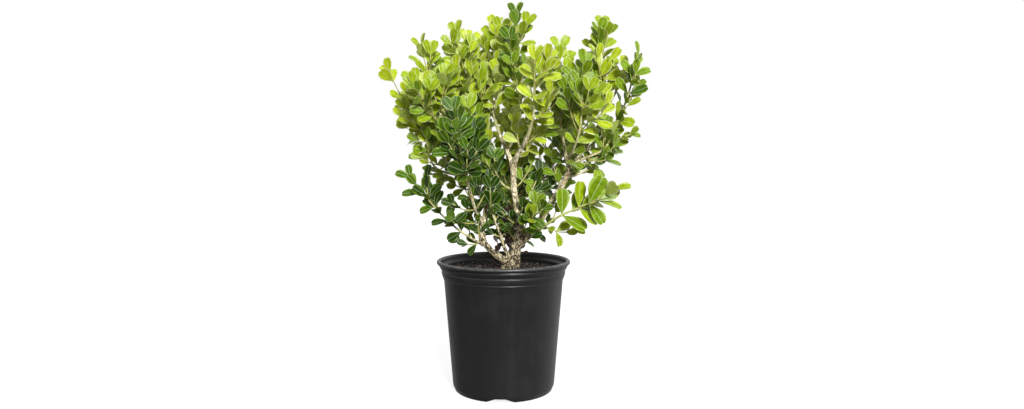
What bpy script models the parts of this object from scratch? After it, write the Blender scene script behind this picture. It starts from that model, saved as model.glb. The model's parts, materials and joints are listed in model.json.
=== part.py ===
"""A young boxwood shrub in a round nursery pot.

The origin is the centre of the pot's flat underside, +Z is up, and the shrub's widest
side faces -Y. A trunk forks into boughs. Each bough's tip carries one foliage mass: a stem
with side shoots and opposite pairs of leaves, which keeps to its own share of the crown.
Headings are compass-like, in degrees from +X towards +Y.
"""

import math
import random
from collections import namedtuple

import bmesh
import bpy
import numpy as np
from mathutils import Matrix, Vector
from mathutils.bvhtree import BVHTree

MM = 0.001
UP = Vector((0, 0, 1))
GAP = 0.3 * MM  # air between pieces that touch

# Pot: a turned nursery container with a rolled lip, a stepped collar and a stepped foot.
POT_SIDES = 40
POT_HEIGHT = 165 * MM
LIP_RADIUS = 84.7 * MM
LIP_ROLL = 2.6 * MM
LIP_STEPS = 6
LIP_START = 175  # degrees of the roll's arc, from its inner side over its top
LIP_TURN = 265
WALL_TOP_RADIUS = 75.5 * MM
WALL_TOP_HEIGHT = 140.5 * MM
WALL_BASE_RADIUS = 65.0 * MM
WALL_BASE_HEIGHT = 9 * MM
WALL_THICKNESS = 2 * MM
FOOT_RADIUS = 62.2 * MM
FOOT_HEIGHT = 3.8 * MM
FOOT_STEP = 1.2 * MM
FLOOR_THICKNESS = 6 * MM
COLLAR = (  # (outer radius, height) down the skirt under the lip, its step and its bead
    (80.6 * MM, 158.6 * MM),
    (81.2 * MM, 157.2 * MM),
    (78.0 * MM, 152.0 * MM),
    (78.6 * MM, 150.4 * MM),
    (77.3 * MM, 144.4 * MM),
    (76.2 * MM, 143.0 * MM),
)
SKIRT_INSIDE = (  # (inner radius, height) up the ledge inside the collar
    (75.3 * MM, 154.6 * MM),
    (75.8 * MM, 156.3 * MM),
    (77.4 * MM, 157.2 * MM),
    (78.6 * MM, 159.2 * MM),
)
DRAINS = 3  # notches around the foot
DRAIN_FIRST = -93
DRAIN_BASE = 44 * MM
DRAIN_TOP = 12 * MM
DRAIN_HEIGHT = 4.6 * MM
DRAIN_DEPTH = 15 * MM
DRAIN_PAST = 8 * MM  # how far a cutter stands out past the foot
DRAIN_BELOW = 2 * MM

SOIL_TOP = 153 * MM
SOIL_GAP = 2 * GAP  # faceted walls of unlike size need more room than one gap

# Limbs. Each leaves its parent at a share of the parent's length, and ends a reach out and
# a rise up from there, in mm. The bow sends it outwards first and upwards last. The radii,
# in mm, are those of its two ends. The order is the order in which they are fitted.
Limb = namedtuple("Limb", "parent share heading reach rise bow thick thin")
TRUNK_FOOT = Vector((8 * MM, 0, SOIL_TOP + GAP))
LIMBS = {
    "trunk": Limb(None, 0, 290, 13, 127, 0.0, 8.6, 3.9),
    "bough_right": Limb("trunk", 0.24, 345, 68, 97, 0.3, 5.0, 3.4),
    "bough_left": Limb("trunk", 0.03, 192, 35, 30, 0.25, 5.0, 3.7),
    "bough_back": Limb("trunk", 0.04, 88, 48, 68, 0.3, 5.2, 3.3),
    "bough_centre_right": Limb("trunk", 1, 302, 33, 40, 0.25, 3.3, 2.4),
    "bough_centre_left": Limb("trunk", 1, 133, 27, 46, 0.25, 3.1, 2.2),
    "bough_left_rise": Limb("bough_left", 1, 60, 5, 46, 0.1, 3.4, 2.8),
    "bough_left_upper": Limb("bough_left_rise", 1, 172, 48, 54, 0.1, 2.7, 2.1),
    "bough_left_inner": Limb("bough_left_rise", 0.86, 85, 26, 44, 0.3, 2.3, 1.9),
    "bough_right_outer": Limb("bough_right", 1, 20, 32, 44, 0.1, 2.9, 2.2),
    "bough_right_inner": Limb("bough_right", 0.97, 235, 14, 36, 0.1, 2.5, 2.0),
    "bough_back_left": Limb("bough_back", 1, 145, 50, 46, 0.2, 2.7, 2.0),
    "bough_back_right": Limb("bough_back", 1, 36, 50, 50, 0.2, 2.7, 2.0),
    "bough_back_top": Limb("bough_back", 0.9, 70, 10, 60, 0.1, 2.3, 1.9),
    "branch_top": Limb("bough_centre_left", 0.45, 50, 20, 34, 0.3, 2.0, 1.7),
    "branch_front_left": Limb("bough_left_rise", 0.5, 250, 44, 50, 0.3, 2.2, 1.7),
    "branch_upper_left": Limb("bough_left_upper", 0.5, 215, 20, 34, 0.3, 1.9, 1.6),
    "branch_side_left": Limb("bough_left_upper", 0.7, 182, 24, 6, 0.1, 1.8, 1.6),
    "branch_low_left": Limb("bough_left", 0.85, 190, 22, 12, 0.1, 2.1, 1.7),
    "branch_inner_left": Limb("bough_left_inner", 0.35, 215, 18, 22, 0.3, 1.8, 1.6),
    "branch_far_right": Limb("bough_right_outer", 0.5, 350, 26, 20, 0.15, 2.0, 1.7),
    "branch_side_right": Limb("bough_right", 0.90, 15, 24, 8, 0.1, 1.9, 1.6),
    "branch_low_right": Limb("bough_right", 0.2, 325, 31, 16, 0.1, 2.3, 1.8),
    "branch_front_right": Limb("bough_right_inner", 0.4, 290, 22, 16, 0.3, 1.8, 1.6),
    "branch_back_far_left": Limb("bough_back_left", 0.5, 195, 30, 20, 0.3, 1.9, 1.6),
    "branch_back_far_right": Limb("bough_back_right", 0.5, 350, 32, 22, 0.3, 1.9, 1.6),
    "branch_back_low": Limb("bough_back", 0.6, 100, 32, 22, 0.2, 1.9, 1.6),
    "branch_outer_right": Limb("bough_right_outer", 0.2, 352, 26, 10, 0.1, 1.9, 1.6),
    "branch_low_inner": Limb("trunk", 0.05, 200, 23, 58, 0.1, 2.5, 2.0),
}
LIMB_SIDES = 8
BRANCH_SIDES = 6  # on a limb no thicker at its foot than this
BRANCH_THICK = 2.5
TRUNK_SIDES = 12
RING_STEP = 11 * MM
LEAST_RINGS = 4
CURVE_HANDLE = 0.36  # of a curved path's length
LIMB_SWAY = 0.016  # sideways waver, as a share of a limb's length
SWAY_TURNS = (1.2, 0.95)  # whole waves of it along a limb, one way across and the other
LIMB_NEAR = 2 * MM  # limbs this close are cut clear of each other
TRUNK_TAPER = 5  # how soon the trunk thins above its base
TRUNK_LEAVE = Vector((0.55, 0, 1))  # the trunk's first direction
FLARE = 3.2 * MM  # the root flare's width beyond the trunk
FLARE_FALL = 9  # how soon it dies away up the trunk
FLARE_LOBES = 5
FLARE_RIDGE = 0.12
RIDGE_FALL = 4

# Foliage masses. Each grows from the tip of its bough, or from the trunk at a share of its
# height, and its stem ends a reach out and a rise up from there, in mm. The side length is
# that of its longest side shoots, as a share of the stem left above them.
Mass = namedtuple("Mass", "limb share heading reach rise bow side")
MASSES = {
    "foliage_top": Mass("branch_top", 1, 250, 6, 136, 0.35, 0.4),
    "foliage_top_back": Mass("bough_centre_left", 1, 96, 37, 139, 0.45, 0.4),
    "foliage_top_left": Mass("bough_left_inner", 1, 218, 48, 176, 0.55, 0.4),
    "foliage_front_centre": Mass("bough_centre_right", 1, 278, 46, 84, 0.55, 0.55),
    "foliage_front_left": Mass("branch_front_left", 1, 230, 24, 88, 0.55, 0.45),
    "foliage_inner_left": Mass("branch_inner_left", 1, 240, 12, 92, 0.45, 0.5),
    "foliage_upper_left": Mass("branch_upper_left", 1, 198, 42, 131, 0.35, 0.5),
    "foliage_far_left": Mass("bough_left_upper", 1, 173, 76, 115, 0.35, 0.25),
    "foliage_side_left": Mass("branch_side_left", 1, 192, 20, 50, 0.45, 0.4),
    "foliage_low_left": Mass("branch_low_left", 1, 186, 74, 76, 0.15, 0.4),
    "foliage_right_inner": Mass("bough_right_inner", 1, 240, 11, 111, 0.35, 0.4),
    "foliage_top_right": Mass("bough_right_outer", 1, 20, 12, 130, 0.35, 0.55),
    "foliage_far_right": Mass("branch_far_right", 1, 338, 43, 94, 0.3, 0.12),
    "foliage_side_right": Mass("branch_side_right", 1, 345, 32, 44, 0.35, 0.45),
    "foliage_low_right": Mass("branch_low_right", 1, 345, 74, 41, 0.35, 0.25),
    "foliage_front_right": Mass("branch_front_right", 1, 292, 23, 95, 0.45, 0.45),
    "foliage_trunk": Mass("trunk", 0.5, 305, 44, 16, 0.45, 0.6),
    "foliage_back_left": Mass("bough_back_left", 1, 140, 24, 116, 0.45, 0.28),
    "foliage_back_right": Mass("bough_back_right", 1, 40, 24, 122, 0.45, 0.28),
    "foliage_back_top": Mass("bough_back_top", 1, 85, 26, 120, 0.35, 0.28),
    "foliage_back_far_left": Mass("branch_back_far_left", 1, 185, 40, 88, 0.55, 0.45),
    "foliage_back_far_right": Mass("branch_back_far_right", 1, 0, 36, 92, 0.55, 0.45),
    "foliage_back_low": Mass("branch_back_low", 1, 60, 24, 60, 0.45, 0.7),
    "foliage_trunk_left": Mass("trunk", 0.8, 160, 28, 42, 0.45, 0.6),
    "foliage_outer_right": Mass("branch_outer_right", 1, 345, 24, 36, 0.45, 0.4),
    "foliage_low_inner": Mass("branch_low_inner", 1, 200, 24, 40, 0.45, 0.7),
    "foliage_trunk_right": Mass("trunk", 0.68, 15, 26, 36, 0.45, 0.6),
}
STEM_STEPS = 7  # pieces of a stem's path
STEM_THIN = 0.9 * MM
STEM_SHRINK = 0.9  # a stem's first radius, as a share of its bough's tip
STEM_CLEAR = 1.5 * MM  # a stem on the trunk's side starts past its ridges and its own width
STEM_RISE = 0.3  # such a stem's first slope
TRUNK_STEM_THICK = 1.43 * MM
TWIG_THICK = 1.1 * MM
TWIG_THIN = 0.8 * MM
TWIG_STEPS = 2
TWIG_SIDES = 3
NODE_STEP = 11.5 * MM  # between one pair of leaves and the next along a shoot
TIP_SET = 1.6 * MM  # from a shoot's end back to its last pair of leaves
BARE_SHARE = 0.06  # of a stem, above its bough, with no leaves
LEAF_EVERY = 2  # nodes from one modelled pair of leaves to the next
SIDE_EVERY = 4  # nodes from one modelled pair of side shoots to the next
FIRST_SIDE = 3  # nodes from a stem's tip down to its first side shoots
SIDE_ODDS = 0.75
SIDE_SPREAD = 40  # degrees from the stem
SIDE_LIFT = 1.05
SIDE_EXTRA = 14 * MM
LEAF_LENGTH = 30 * MM
LEAF_WIDTH = 0.62  # share of its length
LEAF_THICK = 0.04
LEAF_WIDEST = 0.62
LEAF_BLUNT = 0.42  # share of its half width left at its tip
LEAF_RIDGE = 0.4
LEAF_SINK = 0.15 * MM  # the leaf's root lies this far past the middle of its twig
LEAF_SPREAD = (24, 38, 50, 60)  # degrees from the shoot, from its tip down
LEAF_TRIES = ((1, 1), (0.6, 0.95), (0.35, 0.85))  # shares of the spread and the length
LEAF_STALK = 0.12  # of its length, where a leaf may meet others at its root
SHOOT_TRIES = ((1, 1), (0.7, 0.8), (0.5, 0.55))
SIDE_VARIES = (0.85, 1.15)
LEAF_SHARE = (0.82, 0.95, 1.0)  # of the full length, from the tip down
LEAF_VARIES = (0.82, 1.08)  # from leaf to leaf
LEAF_TURN = 0.2  # how far a leaf may roll about its length
LEAF_FACE = (0.3, 0.4, 0.8)  # how far a leaf faces along its shoot, up, and out
LEAF_AXIS = Vector((8 * MM, 90 * MM, 0))  # leaves face away from it, towards the light in front
LEAF_ASIDE = 0.3  # how far they turn to either side, as a share of their place
ANGLE_VARIES = 8  # degrees, of leaves and shoots
TURN_VARIES = 0.5  # radians between one shoot's first pair and the next shoot's
FACING = Vector((0, 1, 0))  # a shoot's last pair spreads across the light from the front
NEAR_FACING = 0.2
SPACE_MARGIN = 1.1 * MM  # between one mass's space and the next
LIMB_MARGIN = 1.0 * MM

COLOURS = {  # base colour, roughness
    "pot": ((0.018, 0.018, 0.019), 0.45),
    "soil": ((0.035, 0.020, 0.013), 0.95),
    "bark": ((0.36, 0.29, 0.18), 0.85),
    "foliage": ((0.16, 0.32, 0.03), 0.45),
}

for old in list(bpy.data.objects):
    bpy.data.objects.remove(old, do_unlink=True)


def material(slot):
    found = bpy.data.materials.get(slot)
    if found:
        return found
    made = bpy.data.materials.new(slot)
    made.use_nodes = True
    shader = made.node_tree.nodes["Principled BSDF"]
    colour, roughness = COLOURS[slot]
    shader.inputs["Base Color"].default_value = (*colour, 1)
    shader.inputs["Roughness"].default_value = roughness
    shader.inputs["Metallic"].default_value = 0
    return made


def add_object(name, bm, slot, home=None, smooth=False):
    """A mesh object from a bmesh, which is used up."""
    bmesh.ops.recalc_face_normals(bm, faces=bm.faces)
    mesh = bpy.data.meshes.new(name)
    bm.to_mesh(mesh)
    bm.free()
    mesh.materials.append(material(slot))
    if smooth:
        mesh.shade_smooth()
        mesh.set_sharp_from_angle(angle=math.radians(40))
    made = bpy.data.objects.new(name, mesh)
    (home or bpy.context.scene.collection).objects.link(made)
    return made


def apply_boolean(target, operation, operands):
    """One Boolean with a collection of operands, applied; then the operands go."""
    helpers = bpy.data.collections.new("operands")
    bpy.context.scene.collection.children.link(helpers)
    for operand in operands:
        for home in operand.users_collection:
            home.objects.unlink(operand)
        helpers.objects.link(operand)
    cut = target.modifiers.new("join", "BOOLEAN")
    cut.operation = operation
    cut.operand_type = "COLLECTION"
    cut.collection = helpers
    bpy.context.view_layer.update()
    graph = bpy.context.evaluated_depsgraph_get()
    result = bpy.data.meshes.new_from_object(target.evaluated_get(graph))
    target.modifiers.clear()
    old = target.data
    target.data = result
    bpy.data.meshes.remove(old)
    result.name = target.name
    for operand in list(helpers.objects):
        bpy.data.meshes.remove(operand.data)
    bpy.data.collections.remove(helpers)


def keep_main_shell(target):
    """Drops loose scraps, and the inner shell of any hollow that joining has sealed."""
    bm = bmesh.new()
    bm.from_mesh(target.data)
    bm.verts.ensure_lookup_table()
    seen = set()
    shells = []
    for first in bm.verts:
        if first in seen:
            continue
        shell = {first}
        edge_of_shell = [first]
        while edge_of_shell:
            here = edge_of_shell.pop()
            for edge in here.link_edges:
                other = edge.other_vert(here)
                if other not in shell:
                    shell.add(other)
                    edge_of_shell.append(other)
        seen |= shell
        shells.append(shell)
    shells.sort(key=len)
    for shell in shells[:-1]:
        bmesh.ops.delete(bm, geom=list(shell), context="VERTS")
    bm.to_mesh(target.data)
    bm.free()


# ---- paths and tubes ----


def polar(heading, reach, rise):
    angle = math.radians(heading)
    return Vector((reach * math.cos(angle), reach * math.sin(angle), rise))


def curve_path(start, end, leave, arrive, steps):
    """Points of a smooth curve that sets off along leave and comes in along arrive."""
    handle = (end - start).length * CURVE_HANDLE
    first = start + leave.normalized() * handle
    second = end - arrive.normalized() * handle
    points = []
    for step in range(steps + 1):
        t = step / steps
        s = 1 - t
        points.append(s**3 * start + 3 * s * s * t * first + 3 * s * t * t * second + t**3 * end)
    return points


def tangents(path):
    ends = [path[0], *path, path[-1]]
    return [(ends[i + 2] - ends[i]).normalized() for i in range(len(path))]


def point_along(path, share):
    place = share * (len(path) - 1)
    index = min(int(place), len(path) - 2)
    return path[index].lerp(path[index + 1], place - index)


def frames(path):
    """Two directions across the path at each point, carried along it without twisting."""
    along = tangents(path)
    across = along[0].orthogonal().normalized()
    found = []
    for tangent in along:
        across = (across - tangent * across.dot(tangent)).normalized()
        found.append((across, tangent.cross(across)))
    return found


def tube(name, path, radii, sides, slot, home=None, ridge=None, smooth=False):
    """A closed tube along a path. ridge(ring, angle) scales the radius."""
    bm = bmesh.new()
    rings = []
    for index, (centre, radius, (a, b)) in enumerate(zip(path, radii, frames(path))):
        ring = []
        for side in range(sides):
            angle = math.tau * side / sides
            grown = radius * (ridge(index, angle) if ridge else 1)
            ring.append(bm.verts.new(centre + (a * math.cos(angle) + b * math.sin(angle)) * grown))
        rings.append(ring)
    for low, high in zip(rings, rings[1:]):
        for side in range(sides):
            after = (side + 1) % sides
            bm.faces.new((low[side], low[after], high[after], high[side]))
    bm.faces.new(reversed(rings[0]))
    bm.faces.new(rings[-1])
    return add_object(name, bm, slot, home, smooth)


# ---- pot and soil ----


def wall_radius(height):
    """The outer wall's radius, which tapers evenly from the collar to the foot."""
    share = (height - WALL_BASE_HEIGHT) / (WALL_TOP_HEIGHT - WALL_BASE_HEIGHT)
    return WALL_BASE_RADIUS + (WALL_TOP_RADIUS - WALL_BASE_RADIUS) * share


def inner_radius(height):
    return wall_radius(height) - WALL_THICKNESS


def turned(name, profile, slot):
    """A solid turned about the Z axis from (radius, height) points whose ends are on it."""
    bm = bmesh.new()
    points = [bm.verts.new((radius, 0, height)) for radius, height in profile]
    edges = [bm.edges.new(pair) for pair in zip(points, points[1:])]
    bmesh.ops.spin(
        bm,
        geom=points + edges,
        cent=(0, 0, 0),
        axis=(0, 0, 1),
        angle=math.tau,
        steps=POT_SIDES,
        use_merge=True,
    )
    bmesh.ops.remove_doubles(bm, verts=bm.verts, dist=0.01 * MM)
    return add_object(name, bm, slot, smooth=True)


def pot_profile():
    lip_centre = LIP_RADIUS - LIP_ROLL
    lip_height = POT_HEIGHT - LIP_ROLL
    roll = []
    for step in range(LIP_STEPS):
        angle = math.radians(LIP_START - LIP_TURN * step / (LIP_STEPS - 1))
        roll.append(
            (lip_centre + LIP_ROLL * math.cos(angle), lip_height + LIP_ROLL * math.sin(angle))
        )
    return [
        (0, FLOOR_THICKNESS),
        (inner_radius(FLOOR_THICKNESS), FLOOR_THICKNESS),
        (inner_radius(WALL_TOP_HEIGHT), WALL_TOP_HEIGHT),
        *SKIRT_INSIDE,
        *roll,
        *COLLAR,
        (WALL_TOP_RADIUS, WALL_TOP_HEIGHT),
        (WALL_BASE_RADIUS, WALL_BASE_HEIGHT),
        (WALL_BASE_RADIUS - 0.5 * FOOT_STEP, FOOT_HEIGHT + FOOT_STEP),
        (FOOT_RADIUS + FOOT_STEP, FOOT_HEIGHT),
        (FOOT_RADIUS, 0),
        (0, 0),
    ]


def drain_cutter(index):
    """A wedge with a trapezium mouth, across the foot from outside."""
    bm = bmesh.new()
    mouth = [
        (-DRAIN_BASE / 2, -DRAIN_BELOW),
        (DRAIN_BASE / 2, -DRAIN_BELOW),
        (DRAIN_TOP / 2, DRAIN_HEIGHT),
        (-DRAIN_TOP / 2, DRAIN_HEIGHT),
    ]
    outer = FOOT_RADIUS + DRAIN_PAST
    inner = FOOT_RADIUS - DRAIN_DEPTH
    front = [bm.verts.new((outer, side, height)) for side, height in mouth]
    back = [bm.verts.new((inner, side, height)) for side, height in mouth]
    bm.faces.new(front)
    bm.faces.new(back)
    for corner in range(4):
        after = (corner + 1) % 4
        bm.faces.new((front[corner], front[after], back[after], back[corner]))
    turn = Matrix.Rotation(math.radians(DRAIN_FIRST + 360 * index / DRAINS), 4, "Z")
    bmesh.ops.transform(bm, matrix=turn, verts=bm.verts)
    return add_object(f"drain_{index}", bm, "pot")


def make_pot():
    pot = turned("pot", pot_profile(), "pot")
    apply_boolean(pot, "DIFFERENCE", [drain_cutter(index) for index in range(DRAINS)])


def make_soil():
    """The potting mix: it fills the pot up to a flat top below the lip."""
    low = FLOOR_THICKNESS + GAP
    collar_radius, collar_height = SKIRT_INSIDE[0]
    top_share = (SOIL_TOP - WALL_TOP_HEIGHT) / (collar_height - WALL_TOP_HEIGHT)
    top_radius = inner_radius(WALL_TOP_HEIGHT) + top_share * (
        collar_radius - inner_radius(WALL_TOP_HEIGHT)
    )
    profile = [
        (0, SOIL_TOP),
        (top_radius - SOIL_GAP, SOIL_TOP),
        (inner_radius(WALL_TOP_HEIGHT) - SOIL_GAP, WALL_TOP_HEIGHT),
        (inner_radius(low) - SOIL_GAP, low),
        (0, low),
    ]
    turned("soil", profile, "soil")


# ---- trunk and boughs ----


def limb_path(name, paths):
    """The path of a limb, with a slight waver that its name seeds."""
    limb = LIMBS[name]
    travel = polar(limb.heading, limb.reach * MM, limb.rise * MM)
    out = polar(limb.heading, 1, 0)
    chord = travel.normalized()
    leave = chord + out * limb.bow
    if limb.parent is None:
        start = TRUNK_FOOT
        leave = TRUNK_LEAVE
    else:
        start = point_along(paths[limb.parent], limb.share)
        if limb.share == 1:
            leave = chord + tangents(paths[limb.parent])[-1]
    steps = max(LEAST_RINGS, round(travel.length / RING_STEP))
    path = curve_path(start, start + travel, leave, chord + UP * limb.bow, steps)
    chance = random.Random(name)
    a, b = frames([path[0], path[-1]])[0]
    phase = chance.uniform(0, math.tau)
    for step in range(1, steps):
        t = step / steps
        sway = travel.length * LIMB_SWAY * math.sin(math.pi * t)
        first, second = (math.tau * turns * t + phase for turns in SWAY_TURNS)
        path[step] = path[step] + sway * (a * math.sin(first) + b * math.cos(second))
    return path


def limb_radii(name, count):
    limb = LIMBS[name]
    radii = []
    for step in range(count):
        left = 1 - step / (count - 1)
        if limb.parent is None:
            flare = FLARE * left**FLARE_FALL
            radii.append(limb.thin * MM + (limb.thick - limb.thin) * MM * left**TRUNK_TAPER + flare)
        else:
            radii.append((limb.thin + (limb.thick - limb.thin) * left) * MM)
    return radii


def limb_tube(name, paths, extra=0.0):
    """The limb's solid, or with extra, a larger copy that clears its surface by so much."""
    path = list(paths[name])
    radii = [radius + extra for radius in limb_radii(name, len(path))]
    if extra:
        ends = tangents(path)
        path[0] = path[0] - ends[0] * extra
        path[-1] = path[-1] + ends[-1] * extra
    if LIMBS[name].parent is None:
        steps = len(path) - 1

        def ridge(ring, angle):
            left = 1 - ring / steps
            return 1 + FLARE_RIDGE * left**RIDGE_FALL * math.cos(FLARE_LOBES * angle)

        solid = tube(name, path, radii, TRUNK_SIDES, "bark", ridge=ridge, smooth=True)
        if not extra:
            level_base(solid, TRUNK_FOOT.z)
        return solid
    sides = LIMB_SIDES if LIMBS[name].thick > BRANCH_THICK else BRANCH_SIDES
    return tube(name, path, radii, sides, "bark", smooth=True)


def level_base(solid, height):
    """Brings the lowest ring to one level, as the flat cut at the ground."""
    ring = sorted(solid.data.vertices, key=lambda vertex: vertex.co.z)[:TRUNK_SIDES]
    for vertex in ring:
        vertex.co.z = height


def nearest(paths, names, name, reach):
    """The limbs among names whose axes come within reach of this limb's surface."""
    near = []
    own = paths[name]
    own_radii = limb_radii(name, len(own))
    for other in names:
        radii = limb_radii(other, len(paths[other]))
        for point, radius in zip(own, own_radii):
            gaps = segment_distances(np.array([point]), paths[other])[0]
            if gaps.min() < radius + max(radii) + reach:
                near.append(other)
                break
    return near


def make_limbs(paths):
    """Each limb is cut 0.3 mm clear of those fitted before it."""
    made = []
    for name in LIMBS:
        limb = limb_tube(name, paths)
        cutters = [limb_tube(other, paths, GAP) for other in nearest(paths, made, name, LIMB_NEAR)]
        if cutters:
            apply_boolean(limb, "DIFFERENCE", cutters)
            keep_main_shell(limb)
        made.append(name)


# ---- foliage ----


def segment_distances(points, path):
    """Distances from each point (rows) to each piece of a path (columns)."""
    path = np.array(path)
    start = path[None, :-1]
    run = path[None, 1:] - start
    offset = points[:, None] - start
    share = (offset * run).sum(axis=2) / (run * run).sum(axis=2)
    share = np.clip(share, 0, 1)[..., None]
    return np.linalg.norm(offset - run * share, axis=2)


class Space:
    """Who may grow where: each mass within its own share of the crown, clear of the limbs."""

    def __init__(self, limbs, stems):
        self.limbs = [(path, np.array(limb_radii(name, len(path)))) for name, path in limbs.items()]
        self.stems = stems

    def allows(self, mass, points):
        points = np.array([tuple(point) for point in points])
        own = segment_distances(points, self.stems[mass]).min(axis=1)
        for other, stem in self.stems.items():
            if other != mass:
                theirs = segment_distances(points, stem).min(axis=1)
                if (theirs - own < SPACE_MARGIN).any():
                    return False
        for path, radii in self.limbs:
            clear = np.maximum(radii[1:], radii[:-1]) + LIMB_MARGIN
            if (segment_distances(points, path) < clear).any():
                return False
        return True


def stem_path(mass, limbs):
    grown = MASSES[mass]
    bough = limbs[grown.limb]
    travel = polar(grown.heading, grown.reach * MM, grown.rise * MM)
    chord = travel.normalized()
    if grown.share == 1:
        leave = tangents(bough)[-1]
        start = bough[-1] + leave * GAP
    else:
        leave = polar(grown.heading, 1, STEM_RISE).normalized()
        radii = limb_radii(grown.limb, len(bough))
        radius = radii[round(grown.share * (len(bough) - 1))]
        start = point_along(bough, grown.share) + leave * (radius + STEM_CLEAR)
    return curve_path(start, start + travel, leave, chord + UP * grown.bow, STEM_STEPS)


def leaf_corners(root, along, face_up, length):
    """A leaf's root, the four corners of its blunt outline, and the ridge on its face."""
    side = along.cross(face_up).normalized()
    face_up = side.cross(along).normalized()
    wide = side * (length * LEAF_WIDTH / 2)
    shoulder = root + along * (length * LEAF_WIDEST)
    tip = root + along * length
    return [
        root - along * LEAF_SINK,
        shoulder - wide,
        tip - wide * LEAF_BLUNT,
        tip + wide * LEAF_BLUNT,
        shoulder + wide,
        root + along * (length * LEAF_RIDGE) + face_up * (length * LEAF_THICK),
    ]


LEAF_FACES = [(0, 1, 2, 3, 4), *((corner, (corner - 1) % 5, 5) for corner in range(5))]


def leaf_solid(corners, home):
    bm = bmesh.new()
    points = [bm.verts.new(corner) for corner in corners]
    for face in LEAF_FACES:
        bm.faces.new([points[corner] for corner in face])
    return add_object("leaf", bm, "foliage", home)


class Neighbours:
    """The leaves and twigs already on a mass, which a new leaf doesn't cross."""

    def __init__(self):
        self.trees = []

    def add_twig(self, solid, key):
        points = [vertex.co for vertex in solid.data.vertices]
        faces = [tuple(face.vertices) for face in solid.data.polygons]
        self.trees.append((BVHTree.FromPolygons(points, faces), key))

    def takes_leaf(self, corners, key):
        blade = [corners[0].lerp(corners[2], LEAF_STALK), *corners[1:]]
        tree = BVHTree.FromPolygons(blade, LEAF_FACES)
        if any(other != key and tree.overlap(placed) for placed, other in self.trees):
            return False
        self.trees.append((tree, None))
        return True


def nodes_of(path, bare):
    """Points from the tip of a shoot down, a node step apart, down to its bare foot."""
    runs = [(b - a).length for a, b in zip(path, path[1:])]
    total = sum(runs)
    along = tangents(path)
    found = []
    back = TIP_SET
    while back <= total * (1 - bare):
        place = total - back
        index = 0
        while index < len(runs) - 1 and place > runs[index]:
            place -= runs[index]
            index += 1
        share = min(place / runs[index], 1)
        point = path[index].lerp(path[index + 1], share)
        found.append((point, along[index].lerp(along[index + 1], share).normalized()))
        back += NODE_STEP
    return found


def pair_sides(tangent, node, turn):
    """The two opposite sides of a shoot that a node's pair faces, crossed from node to node."""
    level = tangent.cross(FACING)
    if level.length < NEAR_FACING:
        level = tangent.orthogonal()
    level.normalize()
    angle = turn + node * math.pi / 2
    side = Matrix.Rotation(angle, 3, tangent) @ level
    return side, -side


def leaves_on(mass, path, key, space, neighbours, every):
    """Corners of the opposite pairs along a shoot, at every so many nodes from its tip."""
    turn = random.Random(f"{mass} {key} turn").uniform(-TURN_VARIES, TURN_VARIES)
    found = []
    for node, (point, tangent) in enumerate(nodes_of(path, BARE_SHARE)):
        if node % every:
            continue
        spread = LEAF_SPREAD[min(node, len(LEAF_SPREAD) - 1)]
        share = LEAF_SHARE[min(node, len(LEAF_SHARE) - 1)]
        chance = random.Random(f"{mass} {key} leaves {node}")
        aside = (point.x - LEAF_AXIS.x) * LEAF_ASIDE
        outward = Vector((aside, point.y - LEAF_AXIS.y, 0)).normalized()
        for side in pair_sides(tangent, node, turn):
            full_angle = math.radians(spread + chance.uniform(-ANGLE_VARIES, ANGLE_VARIES))
            full_size = LEAF_LENGTH * share * chance.uniform(*LEAF_VARIES)
            tilt = side * chance.uniform(-LEAF_TURN, LEAF_TURN)
            for angle_share, size_share in LEAF_TRIES:
                angle = full_angle * angle_share
                along = tangent * math.cos(angle) + side * math.sin(angle)
                face_up = tangent * LEAF_FACE[0] + UP * LEAF_FACE[1] + outward * LEAF_FACE[2] + tilt
                corners = leaf_corners(point, along.normalized(), face_up, full_size * size_share)
                around = corners[1:] + [corners[0].lerp(corners[2], 0.5)]
                if space.allows(mass, around) and neighbours.takes_leaf(corners, key):
                    found.append(corners)
                    break
    return found


def side_shoots(mass, stem, space, every):
    """(key, path) of the shoots in the stem's axils, the longest near its foot."""
    turn = random.Random(f"{mass} turn").uniform(0, math.pi)
    found = []
    for node, (point, tangent) in enumerate(nodes_of(stem, BARE_SHARE)):
        if node < FIRST_SIDE or (node - FIRST_SIDE) % every:
            continue
        chance = random.Random(f"{mass} shoots {node}")
        for order, side in enumerate(pair_sides(tangent, (node - FIRST_SIDE) // 2, turn)):
            grows = chance.random() < SIDE_ODDS
            left = node * NODE_STEP
            length = (left * MASSES[mass].side + SIDE_EXTRA) * chance.uniform(*SIDE_VARIES)
            angle = math.radians(SIDE_SPREAD + chance.uniform(-ANGLE_VARIES, ANGLE_VARIES))
            if not grows:
                continue
            for angle_share, length_share in SHOOT_TRIES:
                turned_out = angle * angle_share
                leave = tangent * math.cos(turned_out) + side * math.sin(turned_out)
                aim = (leave + UP * SIDE_LIFT / 2).normalized()
                end = point + aim * length * length_share
                path = curve_path(point, end, leave, leave + UP * SIDE_LIFT, TWIG_STEPS)
                if space.allows(mass, path[1:]):
                    found.append((f"{node} {order}", path))
                    break
    return found


def radii_between(thick, thin, count):
    return [thick + (thin - thick) * step / (count - 1) for step in range(count)]


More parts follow.
